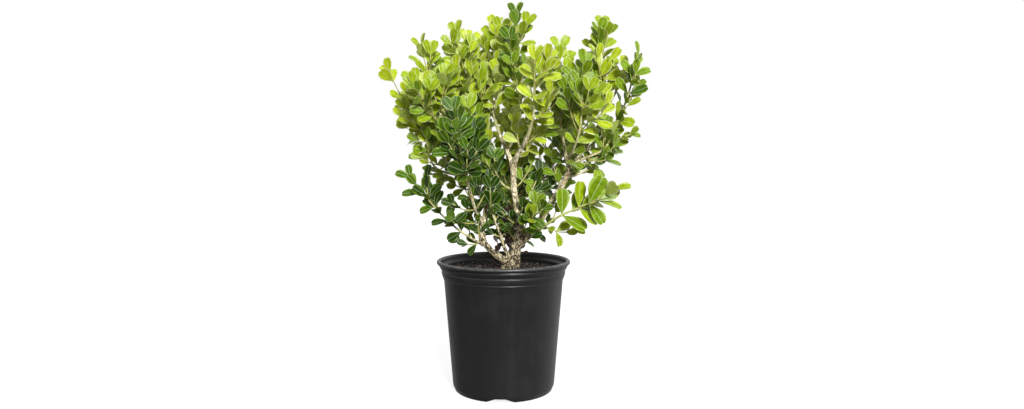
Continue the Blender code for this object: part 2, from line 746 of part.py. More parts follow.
def make_mass(mass, stem, space):
    """A stem, its side shoots and their leaves, made one solid."""
    home = bpy.context.scene.collection
    grown = MASSES[mass]
    thick = TRUNK_STEM_THICK
    if grown.share == 1:
        thick = LIMBS[grown.limb].thin * MM * STEM_SHRINK
    solid = tube(mass, stem, radii_between(thick, STEM_THIN, len(stem)), TWIG_SIDES, "foliage")
    neighbours = Neighbours()
    neighbours.add_twig(solid, "stem")
    parts = []
    shoots = side_shoots(mass, stem, space, SIDE_EVERY)
    for key, path in shoots:
        radii = radii_between(TWIG_THICK, TWIG_THIN, len(path))
        twig = tube("twig", path, radii, TWIG_SIDES, "foliage", home)
        neighbours.add_twig(twig, key)
        parts.append(twig)
    for key, path in [("stem", stem), *shoots]:
        for corners in leaves_on(mass, path, key, space, neighbours, LEAF_EVERY):
            parts.append(leaf_solid(corners, home))
    apply_boolean(solid, "UNION", parts)
    keep_main_shell(solid)


def make_plant():
    limbs = {}
    for name in LIMBS:
        limbs[name] = limb_path(name, limbs)
    stems = {mass: stem_path(mass, limbs) for mass in MASSES}
    make_limbs(limbs)
    space = Space(limbs, stems)
    for mass in MASSES:
        make_mass(mass, stems[mass], space)


make_pot()
make_soil()
make_plant()
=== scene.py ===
"""The looks of a potted young boxwood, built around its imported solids.

The pot and the potting mix are modelled again with finer edges, and the trunk and boughs get
a skin of flaky bark. Every foliage mass grows again from its bough by the rule that made its
solid, carried on to finer shoots and to more and smaller leaves. Sizes are in metres, headings
in degrees from +X towards +Y.
"""

import json
import math
import random
from collections import namedtuple

import bpy
import numpy as np
from mathutils import Matrix, Vector, noise
from mathutils.bvhtree import BVHTree

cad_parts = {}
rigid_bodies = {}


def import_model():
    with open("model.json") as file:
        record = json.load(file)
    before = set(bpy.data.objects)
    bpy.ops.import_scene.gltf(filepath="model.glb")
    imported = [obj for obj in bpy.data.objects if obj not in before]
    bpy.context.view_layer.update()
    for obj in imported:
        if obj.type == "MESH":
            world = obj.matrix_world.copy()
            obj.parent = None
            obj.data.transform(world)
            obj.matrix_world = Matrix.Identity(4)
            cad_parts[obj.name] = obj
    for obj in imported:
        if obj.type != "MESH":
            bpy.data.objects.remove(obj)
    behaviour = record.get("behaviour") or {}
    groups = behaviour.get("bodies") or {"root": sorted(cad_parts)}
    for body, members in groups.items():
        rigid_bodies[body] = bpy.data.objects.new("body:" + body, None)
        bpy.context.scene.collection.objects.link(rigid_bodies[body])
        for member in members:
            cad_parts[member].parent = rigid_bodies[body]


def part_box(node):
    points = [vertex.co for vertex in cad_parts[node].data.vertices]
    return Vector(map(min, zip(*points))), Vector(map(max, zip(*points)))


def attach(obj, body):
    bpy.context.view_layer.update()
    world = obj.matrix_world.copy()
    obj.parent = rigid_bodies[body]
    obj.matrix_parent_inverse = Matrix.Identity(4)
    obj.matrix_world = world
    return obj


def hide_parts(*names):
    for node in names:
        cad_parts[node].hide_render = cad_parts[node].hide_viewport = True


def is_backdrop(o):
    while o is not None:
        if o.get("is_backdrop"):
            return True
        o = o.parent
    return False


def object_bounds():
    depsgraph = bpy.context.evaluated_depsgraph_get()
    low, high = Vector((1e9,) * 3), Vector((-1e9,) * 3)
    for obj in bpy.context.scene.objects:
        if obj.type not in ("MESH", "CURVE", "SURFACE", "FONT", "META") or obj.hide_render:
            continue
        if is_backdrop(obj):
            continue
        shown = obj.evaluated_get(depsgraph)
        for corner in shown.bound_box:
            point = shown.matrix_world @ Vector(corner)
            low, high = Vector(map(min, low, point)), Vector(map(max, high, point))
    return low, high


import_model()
CAD_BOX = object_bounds()

MM = 0.001
UP = Vector((0, 0, 1))
GAP = 0.3 * MM
BODY = "root"

# The camera stands in front of the pot, a little to its right and above its lip.
CAMERA_PLACE = (10.8 * MM, -894 * MM, 288 * MM)
CAMERA_DIP = 3.42  # degrees below level
CAMERA_SENSOR = 36
CAMERA_LENS = 24.86

# ---- the plant's sizes, as in its solids ----

# A limb leaves its parent at a share of its length. It reaches and rises so many millimetres,
# bows upwards, and tapers from a thick to a thin radius, in millimetres too.
Limb = namedtuple("Limb", "parent share heading reach rise bow thick thin")
TRUNK_FOOT = Vector((8 * MM, 0, 153.3 * MM))
LIMBS = {
    "trunk": Limb(None, 0, 290, 13, 127, 0.0, 8.6, 3.9),
    "bough_right": Limb("trunk", 0.24, 345, 68, 97, 0.3, 5.0, 3.4),
    "bough_left": Limb("trunk", 0.03, 192, 35, 30, 0.25, 5.0, 3.7),
    "bough_back": Limb("trunk", 0.04, 88, 48, 68, 0.3, 5.2, 3.3),
    "bough_centre_right": Limb("trunk", 1, 302, 33, 40, 0.25, 3.3, 2.4),
    "bough_centre_left": Limb("trunk", 1, 133, 27, 46, 0.25, 3.1, 2.2),
    "bough_left_rise": Limb("bough_left", 1, 60, 5, 46, 0.1, 3.4, 2.8),
    "bough_left_upper": Limb("bough_left_rise", 1, 172, 48, 54, 0.1, 2.7, 2.1),
    "bough_left_inner": Limb("bough_left_rise", 0.86, 85, 26, 44, 0.3, 2.3, 1.9),
    "bough_right_outer": Limb("bough_right", 1, 20, 32, 44, 0.1, 2.9, 2.2),
    "bough_right_inner": Limb("bough_right", 0.97, 235, 14, 36, 0.1, 2.5, 2.0),
    "bough_back_left": Limb("bough_back", 1, 145, 50, 46, 0.2, 2.7, 2.0),
    "bough_back_right": Limb("bough_back", 1, 36, 50, 50, 0.2, 2.7, 2.0),
    "bough_back_top": Limb("bough_back", 0.9, 70, 10, 60, 0.1, 2.3, 1.9),
    "branch_top": Limb("bough_centre_left", 0.45, 50, 20, 34, 0.3, 2.0, 1.7),
    "branch_front_left": Limb("bough_left_rise", 0.5, 250, 44, 50, 0.3, 2.2, 1.7),
    "branch_upper_left": Limb("bough_left_upper", 0.5, 215, 20, 34, 0.3, 1.9, 1.6),
    "branch_side_left": Limb("bough_left_upper", 0.7, 182, 24, 6, 0.1, 1.8, 1.6),
    "branch_low_left": Limb("bough_left", 0.85, 190, 22, 12, 0.1, 2.1, 1.7),
    "branch_inner_left": Limb("bough_left_inner", 0.35, 215, 18, 22, 0.3, 1.8, 1.6),
    "branch_far_right": Limb("bough_right_outer", 0.5, 350, 26, 20, 0.15, 2.0, 1.7),
    "branch_side_right": Limb("bough_right", 0.90, 15, 24, 8, 0.1, 1.9, 1.6),
    "branch_low_right": Limb("bough_right", 0.2, 325, 31, 16, 0.1, 2.3, 1.8),
    "branch_front_right": Limb("bough_right_inner", 0.4, 290, 22, 16, 0.3, 1.8, 1.6),
    "branch_back_far_left": Limb("bough_back_left", 0.5, 195, 30, 20, 0.3, 1.9, 1.6),
    "branch_back_far_right": Limb("bough_back_right", 0.5, 350, 32, 22, 0.3, 1.9, 1.6),
    "branch_back_low": Limb("bough_back", 0.6, 100, 32, 22, 0.2, 1.9, 1.6),
    "branch_outer_right": Limb("bough_right_outer", 0.2, 352, 26, 10, 0.1, 1.9, 1.6),
    "branch_low_inner": Limb("trunk", 0.05, 200, 23, 58, 0.1, 2.5, 2.0),
}
RING_STEP = 11 * MM
LEAST_RINGS = 4
CURVE_HANDLE = 0.36  # of the way between a curve's ends
LIMB_SWAY = 0.016  # of a limb's length
SWAY_TURNS = (1.2, 0.95)
TRUNK_TAPER = 5
TRUNK_LEAVE = Vector((0.55, 0, 1))  # the trunk's first direction
FLARE = 3.2 * MM
FLARE_FALL = 9

# A mass's stem leaves its limb as a limb leaves its parent. Its side shoots are as long as a
# share of the stem above them. Its tint makes its leaves paler above 0, and deeper below it:
# partly their own green, partly painted light and painted shade where the crown is lit or shaded.
Mass = namedtuple("Mass", "limb share heading reach rise bow side tint")
MASSES = {
    "foliage_top": Mass("branch_top", 1, 250, 6, 136, 0.35, 0.4, 0.15),
    "foliage_top_back": Mass("bough_centre_left", 1, 96, 37, 139, 0.45, 0.4, 0.4),
    "foliage_top_left": Mass("bough_left_inner", 1, 218, 48, 176, 0.55, 0.4, 0.26),
    "foliage_front_centre": Mass("bough_centre_right", 1, 278, 46, 84, 0.55, 0.55, 0.46),
    "foliage_front_left": Mass("branch_front_left", 1, 230, 24, 88, 0.55, 0.45, -0.42),
    "foliage_inner_left": Mass("branch_inner_left", 1, 240, 12, 92, 0.45, 0.5, -0.2),
    "foliage_upper_left": Mass("branch_upper_left", 1, 198, 42, 131, 0.35, 0.5, -0.02),
    "foliage_far_left": Mass("bough_left_upper", 1, 173, 76, 115, 0.35, 0.25, 0.04),
    "foliage_side_left": Mass("branch_side_left", 1, 192, 20, 50, 0.45, 0.4, -0.15),
    "foliage_low_left": Mass("branch_low_left", 1, 186, 74, 76, 0.15, 0.4, -0.25),
    "foliage_right_inner": Mass("bough_right_inner", 1, 240, 11, 111, 0.35, 0.4, -0.12),
    "foliage_top_right": Mass("bough_right_outer", 1, 20, 12, 130, 0.35, 0.55, -0.04),
    "foliage_far_right": Mass("branch_far_right", 1, 338, 43, 94, 0.3, 0.12, -0.42),
    "foliage_side_right": Mass("branch_side_right", 1, 345, 32, 44, 0.35, 0.45, -0.3),
    "foliage_low_right": Mass("branch_low_right", 1, 345, 74, 41, 0.35, 0.25, 0.2),
    "foliage_front_right": Mass("branch_front_right", 1, 292, 23, 95, 0.45, 0.45, -0.2),
    "foliage_trunk": Mass("trunk", 0.5, 305, 44, 16, 0.45, 0.6, 0.3),
    "foliage_back_left": Mass("bough_back_left", 1, 140, 24, 116, 0.45, 0.28, 0.0),
    "foliage_back_right": Mass("bough_back_right", 1, 40, 24, 122, 0.45, 0.28, -0.3),
    "foliage_back_top": Mass("bough_back_top", 1, 85, 26, 120, 0.35, 0.28, 0.45),
    "foliage_back_far_left": Mass("branch_back_far_left", 1, 185, 40, 88, 0.55, 0.45, -0.1),
    "foliage_back_far_right": Mass("branch_back_far_right", 1, 0, 36, 92, 0.55, 0.45, -0.35),
    "foliage_back_low": Mass("branch_back_low", 1, 60, 24, 60, 0.45, 0.7, -0.1),
    "foliage_trunk_left": Mass("trunk", 0.8, 160, 28, 42, 0.45, 0.6, -0.2),
    "foliage_outer_right": Mass("branch_outer_right", 1, 345, 24, 36, 0.45, 0.4, -0.35),
    "foliage_low_inner": Mass("branch_low_inner", 1, 200, 24, 40, 0.45, 0.7, -0.25),
    "foliage_trunk_right": Mass("trunk", 0.68, 15, 26, 36, 0.45, 0.6, -0.25),
}
STEM_STEPS = 7
STEM_CLEAR = 1.5 * MM  # from the trunk's bark to the stems in its side
STEM_RISE = 0.3
NODE_STEP = 11.5 * MM
TIP_SET = 1.6 * MM  # from a shoot's tip to its first node
BARE_SHARE = 0.06  # of a shoot's foot, without nodes
FIRST_SIDE = 3  # the first node from a stem's tip with side shoots
SIDE_EXTRA = 14 * MM  # that each side shoot has besides its share
LEAF_SPREAD = (24, 38, 50, 60)  # degrees from the shoot, by node from its tip
LEAF_VARIES = (0.82, 1.08)  # of its length
LEAF_TURN = 0.2  # how far its face may turn to its shoot or from it
LEAF_FACE = (0.3, 0.4, 0.8)  # how far a leaf faces along its shoot, up, and out
SHOOT_FACE_VARIES = 0.28
LEAF_FACE_VARIES = 0.28
LEAF_AXIS = Vector((8 * MM, 90 * MM, 0))  # leaves face away from it, towards the light in front
LEAF_ASIDE = 0.3  # how far they turn to either side, as a share of their place
ANGLE_VARIES = 8  # degrees
TURN_VARIES = 0.5  # of a shoot's pairs about it
FACING = Vector((0, 1, 0))  # a shoot's last pair spreads across the light from the front
NEAR_FACING = 0.2  # a shoot less than this out of that direction spreads anyhow

# The finer growth here, and how its shoots stand.
SIDE_EVERY = 2  # nodes from one pair of side shoots to the next
TWIG_STEPS = 4
TWIG_SIDES = 6
STEM_THIN = 0.75 * MM
TWIG_THICK = 1.05 * MM
TWIG_THIN = 0.6 * MM
FINE_THICK = 0.8  # of TWIG_THICK
FINE_FIRST = 2  # the first node from a side shoot's tip with finer shoots
FINE_BARE = 0.2  # of a side shoot's foot, without finer ones
FINE_LEAST = 24 * MM  # a side shoot this long bears finer shoots
FINE_SHARE = 0.55  # of the side shoot's length above the finer one
FINE_EXTRA = 9 * MM
# How often a shoot grows in an axil, how many degrees it spreads, how far it lifts as it grows,
# and the least and most of its length: in metres, or as a share of what its place gives it.
Habit = namedtuple("Habit", "odds spread lift reach")
SIDE_HABIT = Habit(0.75, 40, 1.05, (0.85, 1.15))
FINE_HABIT = Habit(0.8, 40, 1.3, (0.85, 1.15))
BOUGH_HABIT = Habit(0.7, 62, 0.9, (13 * MM, 40 * MM))  # of a short leafy shoot on a bough's bark
BOUGH_BARE = 0.1  # of its foot
SHOOT_FOOT = 0.7  # of its bough's radius out from the bough's middle
BOUGH_LEAVES = 0.76  # of a leaf's size
BOUGH_FRONT = -0.45  # none stands out to the front past this, so the boughs show
TRUNK_TURN = 0.5  # its shoots stand out to the front as well, but for those near its fork
TRUNK_FRONT = 236 * MM
BOUGH_LOWEST = 178 * MM
DRY_LEVELS = (168 * MM, 212 * MM)  # between them the boughs' first shoots have died back
DRY_STEP = 4 * MM  # from one place for a pair of them to the next
DRY_ODDS = 0.75
DRY_REACH = (8 * MM, 24 * MM)
DRY_SPREAD = (35, 85)
DRY_LIFT = 0.3
DRY_LEAVES = 0.5  # of a leaf's size
DRY_FRONT = -0.1  # none stands out to the front past this
DRY_WITHIN = 22 * MM  # of the trunk's foot, seen from above
LEAF_LENGTH = 22.5 * MM
LEAF_SHARE = (0.88, 1.02, 1.1, 1.04)  # of that, by node from a shoot's tip
LEAF_ODDS = (1, 1, 0.95, 0.85, 0.85, 0.75, 0.7, 0.6, 0.55, 0.5)  # by node from a shoot's tip
LEAF_KEPT = 0.94
LEAF_WIDTH = 0.62
LEAF_WIDEST = 0.62  # where along its length it is widest
LEAF_TIP = 0.42  # how wide its outline ends
LEAF_TRIES = ((1, 1), (0.7, 0.96), (0.45, 0.9), (1.25, 0.85))  # shares of spread and length
SHOOT_TRIES = ((1, 1), (0.7, 0.8), (0.5, 0.55))  # shares of angle and length
SPACE_MARGIN = -9 * MM  # sprays of one mass mingle with the next this far
LIMB_MARGIN = 0.6 * MM  # between leaves and bark
CELL = 14 * MM  # of the grid that finds a leaf's neighbours
LARGE_LEAVES = {"foliage_low_right": 1.4}  # those of the young shoot low on the trunk


# ---- paths ----


def polar(heading, reach, rise):
    angle = math.radians(heading)
    return Vector((reach * math.cos(angle), reach * math.sin(angle), rise))


def on_curve(t, start, first, second, end):
    """A point of the cubic curve from start to end that is drawn towards first and second."""
    s = 1 - t
    return s**3 * start + 3 * s * s * t * first + 3 * s * t * t * second + t**3 * end


def curve_path(start, end, leave, arrive, steps):
    """Points of a smooth curve that sets off along leave and comes in along arrive."""
    handle = (end - start).length * CURVE_HANDLE
    first = start + leave.normalized() * handle
    second = end - arrive.normalized() * handle
    return [on_curve(step / steps, start, first, second, end) for step in range(steps + 1)]


def runs_of(path):
    return [(b - a).length for a, b in zip(path, path[1:])]


def tangents(path):
    ends = [path[0], *path, path[-1]]
    return [(ends[i + 2] - ends[i]).normalized() for i in range(len(path))]


def point_along(path, share):
    place = share * (len(path) - 1)
    index = min(int(place), len(path) - 2)
    return path[index].lerp(path[index + 1], place - index)


def frames(path):
    """Two directions across the path at each point, carried along it without twisting."""
    along = tangents(path)
    across = along[0].orthogonal().normalized()
    found = []
    for tangent in along:
        across = (across - tangent * across.dot(tangent)).normalized()
        found.append((across, tangent.cross(across)))
    return found


def limb_path(name, paths):
    """The path of a limb, with a slight waver that its name seeds."""
    limb = LIMBS[name]
    travel = polar(limb.heading, limb.reach * MM, limb.rise * MM)
    out = polar(limb.heading, 1, 0)
    chord = travel.normalized()
    leave = chord + out * limb.bow
    if limb.parent is None:
        start = TRUNK_FOOT
        leave = TRUNK_LEAVE
    else:
        start = point_along(paths[limb.parent], limb.share)
        if limb.share == 1:
            leave = chord + tangents(paths[limb.parent])[-1]
    steps = max(LEAST_RINGS, round(travel.length / RING_STEP))
    path = curve_path(start, start + travel, leave, chord + UP * limb.bow, steps)
    chance = random.Random(name)
    a, b = frames([path[0], path[-1]])[0]
    phase = chance.uniform(0, math.tau)
    for step in range(1, steps):
        t = step / steps
        sway = travel.length * LIMB_SWAY * math.sin(math.pi * t)
        first, second = (math.tau * turns * t + phase for turns in SWAY_TURNS)
        path[step] = path[step] + sway * (a * math.sin(first) + b * math.cos(second))
    return path


def limb_radii(name, count):
    limb = LIMBS[name]
    radii = []
    for step in range(count):
        left = 1 - step / (count - 1)
        if limb.parent is None:
            taper = (limb.thick - limb.thin) * MM * left**TRUNK_TAPER
            radii.append(limb.thin * MM + taper + FLARE * left**FLARE_FALL)
        else:
            radii.append((limb.thin + (limb.thick - limb.thin) * left) * MM)
    return radii


def stem_path(mass, limbs):
    grown = MASSES[mass]
    bough = limbs[grown.limb]
    travel = polar(grown.heading, grown.reach * MM, grown.rise * MM)
    chord = travel.normalized()
    if grown.share == 1:
        leave = tangents(bough)[-1]
        start = bough[-1] + leave * GAP
    else:
        leave = polar(grown.heading, 1, STEM_RISE).normalized()
        radii = limb_radii(grown.limb, len(bough))
        radius = radii[round(grown.share * (len(bough) - 1))]
        start = point_along(bough, grown.share) + leave * (radius + STEM_CLEAR)
    return curve_path(start, start + travel, leave, chord + UP * grown.bow, STEM_STEPS)


limbs = {}
for limb_name in LIMBS:
    limbs[limb_name] = limb_path(limb_name, limbs)
stems = {mass: stem_path(mass, limbs) for mass in MASSES}


# ---- materials ----


class Maths:
    """A shader socket that Python's operators lead into Math nodes."""

    def __init__(self, nodes, socket):
        self.nodes = nodes
        self.socket = socket

    def _made(self, operation, *values):
        made = self.nodes.node("ShaderNodeMath", {"operation": operation}, values)
        return Maths(self.nodes, made.outputs[0])

    def __add__(self, other):
        return self._made("ADD", self, other)

    def __radd__(self, other):
        return self._made("ADD", other, self)

    def __sub__(self, other):
        return self._made("SUBTRACT", self, other)

    def __rsub__(self, other):
        return self._made("SUBTRACT", other, self)

    def __abs__(self):
        return self._made("ABSOLUTE", self)

    def __mul__(self, other):
        return self._made("MULTIPLY", self, other)

    def __rmul__(self, other):
        return self._made("MULTIPLY", other, self)

    def sine(self):
        return self._made("SINE", self)

    def clamped(self):
        made = self.nodes.node("ShaderNodeClamp", {}, [self, 0.0, 1.0])
        return Maths(self.nodes, made.outputs[0])

    def step(self, low, high):
        """0 below low and 1 above high, eased between them."""
        settings = {"interpolation_type": "SMOOTHSTEP"}
        made = self.nodes.node("ShaderNodeMapRange", settings, [self, low, high])
        return Maths(self.nodes, made.outputs[0])


class Nodes:
    """The nodes of a material or of the sky."""

    def __init__(self, tree):
        self.tree = tree

    def node(self, kind, settings, values=()):
        """Adds a node: its settings first, then values or links by socket order or name."""
        made = self.tree.nodes.new(kind)
        for setting, value in settings.items():
            setattr(made, setting, value)
        pairs = values.items() if isinstance(values, dict) else enumerate(values)
        for key, value in pairs:
            self.join(made.inputs[key], value)
        return made

    def join(self, socket, value):
        if isinstance(value, Maths):
            value = value.socket
        if isinstance(value, bpy.types.NodeSocket):
            self.tree.links.new(value, socket)
        else:
            socket.default_value = value


MIX_SOCKETS = (0, 6, 7)  # of a Mix node: its share and its two colours
MIXED_COLOUR = 2


class Finish(Nodes):
    """A material with one Principled shader, and the nodes that feed it."""

    def __init__(self, name, colour, roughness, **constants):
        self.material = bpy.data.materials.new(name)
        self.material.use_nodes = True
        super().__init__(self.material.node_tree)
        self.shader = self.tree.nodes["Principled BSDF"]
        self.feed("Base Color", (*colour, 1))
        self.feed("Roughness", roughness)
        for socket, value in constants.items():
            self.feed(socket.replace("_", " "), value)

    def feed(self, name, value):
        self.join(self.shader.inputs[name], value)

    def place(self, scale=(1, 1, 1)):
        """Object coordinates, scaled."""
        coordinates = self.node("ShaderNodeTexCoord", {}).outputs["Object"]
        values = {"Vector": coordinates, "Scale": scale}
        return self.node("ShaderNodeMapping", {}, values).outputs[0]

    def height(self):
        made = self.node("ShaderNodeSeparateXYZ", {}, [self.place()])
        return Maths(self, made.outputs["Z"])

    def off_axis(self):
        """How far a place is from the pot's axis."""
        made = self.node("ShaderNodeVectorMath", {"operation": "LENGTH"}, [self.place((1, 1, 0))])
        return Maths(self, made.outputs["Value"])

    def noise(self, size, detail, stretch=(1, 1, 1)):
        """Noise whose patches are about as wide as size, in metres."""
        values = {"Vector": self.place(stretch), "Scale": 1 / size, "Detail": detail}
        return Maths(self, self.node("ShaderNodeTexNoise", {}, values).outputs["Fac"])

    def attribute(self, name):
        made = self.node("ShaderNodeAttribute", {"attribute_name": name})
        return Maths(self, made.outputs["Fac"])

    def mix(self, share, first, second):
        """A colour between two colours or links."""
        values = [share]
        for colour in (first, second):
            values.append((*colour, 1) if isinstance(colour, tuple) else colour)
        made = self.node("ShaderNodeMix", {"data_type": "RGBA"}, dict(zip(MIX_SOCKETS, values)))
        return made.outputs[MIXED_COLOUR]

    def bump(self, height, depth, strength=1.0):
        """Relief of the given depth, in metres."""
        values = {"Strength": strength, "Distance": depth, "Height": height}
        self.feed("Normal", self.node("ShaderNodeBump", {}, values).outputs[0])


PLASTIC_ROUGH = 0.34
PLASTIC_IOR = 1.46
PEAT = ((0.006, 0.004, 0.004), (0.024, 0.014, 0.01))  # its darkest and its palest
PEAT_PLAIN = (0.03, 0.018, 0.012)
PEAT_FIBRES = (0.05, 0.032, 0.022)
# The darker peat out towards the pot's wall.
PEAT_NEAR_WALL = (0.004, 0.003, 0.003)
BARK_PLAIN = (0.4, 0.32, 0.19)
OLD_BARK = ((0.6, 0.48, 0.26), (0.93, 0.86, 0.6))
YOUNG_BARK = ((0.36, 0.39, 0.08), (0.60, 0.62, 0.22))
# The brown of the painted shade low on the bark.
BARK_PAINTED_SHADE = (0.2, 0.165, 0.09)
BARK_CRACKS = (0.022, 0.012, 0.006)
GREEN_SHOOT = ((0.44, 0.46, 0.12), (0.34, 0.27, 0.1))  # young and old
DRY_SHOOT = ((0.06, 0.035, 0.025), (0.02, 0.012, 0.009))
LEAF_DEPTH = {  # light comes through a leaf
    "Subsurface_Weight": 0.28,
    "Subsurface_Radius": (1.0, 1.0, 0.25),
    "Subsurface_Scale": 2 * MM,
}
VEINS = 14  # pairs of them along a leaf
VEINS_SLANT = 3.5  # how many of them a vein's end passes


def pot_plastic(name, clean, dusty):
    """Black moulded polypropylene: a dull sheen, a fine grain, a little dust, a painted highlight on
    the lip.
    """
    finish = Finish(name, clean, PLASTIC_ROUGH, IOR=PLASTIC_IOR)
    haze = finish.noise(30 * MM, 4)
    flow = finish.noise(9 * MM, 3, stretch=(1, 1, 0.12))
    grain = finish.noise(0.7 * MM, 2)
    dust = (haze * 0.6 + flow * 0.4).step(0.42, 0.72)
    highlight_patches = finish.noise(5 * MM, 3, stretch=(1, 1, 0)).step(0.3, 0.7)
    lip = finish.height().step(*LIP_HIGHLIGHT_LEVELS)
    black = finish.mix(dust, clean, dusty)
    # The lip's top is painted a paler grey in patches: a painted highlight.
    finish.feed("Base Color", finish.mix(lip * (0.3 + highlight_patches * 0.7), black, LIP_PAINTED_HIGHLIGHT))
    finish.feed("Roughness", PLASTIC_ROUGH + dust * 0.1 + grain * 0.05)
    finish.bump(grain + flow * 0.6, 0.05 * MM, 0.5)
    return finish.material


def potting_mix():
    """Peat and fine bark, darker out towards the pot."""
    finish = Finish("potting_mix", PEAT_PLAIN, 0.95, Specular_IOR_Level=0.25)
    lumps = finish.noise(4 * MM, 5)
    fibres = finish.noise(1.2 * MM, 4)
    brown = finish.mix(lumps.step(0.35, 0.7), *PEAT)
    mixed = finish.mix((fibres - 0.5) * 1.4, brown, PEAT_FIBRES)
    # The mix is darker out towards the pot's wall.
    near_wall = finish.off_axis().step(SOIL_RADIUS * 0.55, SOIL_RADIUS * 0.8)
    finish.feed("Base Color", finish.mix(near_wall, mixed, PEAT_NEAR_WALL))
    finish.bump(lumps + fibres * 0.5, 1.2 * MM)
    return finish.material


def crumb(name, dark, pale):
    """Grained crumbs of bark or stone."""
    finish = Finish(name, dark, 0.9, Specular_IOR_Level=0.3)
    grain = finish.noise(1.4 * MM, 4, stretch=(1, 1, 2))
    finish.feed("Base Color", finish.mix(grain.step(0.3, 0.75), dark, pale))
    finish.bump(grain, 0.4 * MM)
    return finish.material


def bark():
    """Pale tan bark that flakes over dark brown cracks, with painted shade darkening it to the soil.
    """
    finish = Finish("boxwood_bark", BARK_PLAIN, 0.85, Specular_IOR_Level=0.3)
    crack = finish.attribute("crack")
    age = finish.attribute("age")
    patches = finish.noise(5 * MM, 4, stretch=(1, 1, 0.45))
    flakes = finish.noise(1.5 * MM, 4, stretch=(1, 1, 0.4))
    painted_shade = finish.attribute("painted_shade")
    cream = finish.mix(patches.step(0.35, 0.65), *OLD_BARK)
    # Painted shade: the cream darkens down to the soil, and its cracks and specks deepen there.
    cream = finish.mix(painted_shade * 0.85, cream, BARK_PAINTED_SHADE)
    young = finish.mix(flakes.step(0.3, 0.7), *YOUNG_BARK)
    skin = finish.mix(age, young, cream)
    specks = (flakes + painted_shade * 0.07).step(0.54, 0.66)
    shade = (crack * (1.2 + painted_shade) + specks * (0.75 * age + painted_shade * 0.2)).clamped()
    finish.feed("Base Color", finish.mix(shade, skin, BARK_CRACKS))
    finish.feed("Roughness", 0.78 + flakes * 0.2)
    finish.bump(flakes * 0.7 + patches * 0.3 - crack * 0.6, 0.5 * MM, 0.8)
    return finish.material


def twig_skin(name, young, old):
    """The thin streaked skin of a young shoot."""
    finish = Finish(name, young, 0.5)
    streaks = finish.noise(2.5 * MM, 3, stretch=(1, 1, 0.3))
    finish.feed("Base Color", finish.mix(streaks.step(0.3, 0.7), young, old))
    finish.bump(streaks, 0.15 * MM)
    return finish.material


def leaf_blade(name, colour, rib, gloss):
    """A leaf's upper face: fine veins slant from the midrib, over a slightly uneven green."""
    finish = Finish(name, colour, 0.4, Specular_IOR_Level=gloss, **LEAF_DEPTH)
    uneven = finish.noise(7 * MM, 2)
    across = finish.attribute("across")
    along = finish.attribute("along")
    veins = ((along * VEINS - abs(across) * VEINS_SLANT) * math.tau).sine()
    deeper = tuple(part * 0.82 for part in colour)
    paler = tuple(min(part * 1.12 + 0.004, 1) for part in colour)
    green = finish.mix(uneven.step(0.35, 0.65), deeper, paler)
    towards_edge = (across * across * 0.5).clamped()
    green = finish.mix(towards_edge, green, deeper)
    midrib = (1 - abs(across).step(0.02, 0.1)) * 0.3
    finish.feed("Base Color", finish.mix(midrib, green, rib))
    finish.feed("Roughness", 0.27 + uneven * 0.16)
    finish.bump(veins, 0.06 * MM, 0.35)
    return finish.material


def leaf_plain(name, colour, roughness=0.5):
    """A leaf's pale margin, or its underside."""
    finish = Finish(name, colour, roughness, Specular_IOR_Level=0.2, **LEAF_DEPTH)
    uneven = finish.noise(5 * MM, 2)
    deeper = tuple(part * 0.8 for part in colour)
    finish.feed("Base Color", finish.mix(uneven.step(0.35, 0.65), deeper, colour))
    return finish.material


# ---- pieces ----


def start_piece():
    """Back to object mode with nothing selected."""
    if bpy.context.object and bpy.context.object.mode != "OBJECT":
        bpy.ops.object.mode_set(mode="OBJECT")
    bpy.ops.object.select_all(action="DESELECT")


def choose(piece):
    """Selects one piece alone, and makes it the active one."""
    start_piece()
    bpy.context.view_layer.objects.active = piece
    piece.select_set(True)


def settle(piece, slot, materials, *nodes):
    """Applies a finished piece's place, gives it its finishes, and ties it to the frame."""
    choose(piece)
    bpy.ops.object.transform_apply(location=True, rotation=True, scale=True)
    for material in materials:
        piece.data.materials.append(material)
    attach(piece, BODY)
    if nodes:
        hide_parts(*nodes)
    return piece


def put_in(name, data):
    """A new object that shows the data in the scene."""
    made = bpy.data.objects.new(name, data)
    bpy.context.scene.collection.objects.link(made)
    return made


def put_mesh(name, corners, faces):
    """A piece made of the corners and faces."""
    mesh = bpy.data.meshes.new(name)
    mesh.from_pydata(corners, [], faces)
    return put_in(name, mesh)


def keep_numbers(mesh, name, values):
    """Keeps a number for each corner of a mesh, for its finish to read."""
    attribute = mesh.attributes.new(name, "FLOAT", "POINT")
    attribute.data.foreach_set("value", values.astype(np.float32))


def select_where(piece, test):
    """In edit mode, selects the vertices whose place passes the test."""
    bpy.ops.mesh.select_all(action="DESELECT")
    bpy.ops.object.mode_set(mode="OBJECT")
    for vertex in piece.data.vertices:
        vertex.select = test(vertex.co)
    bpy.ops.object.mode_set(mode="EDIT")


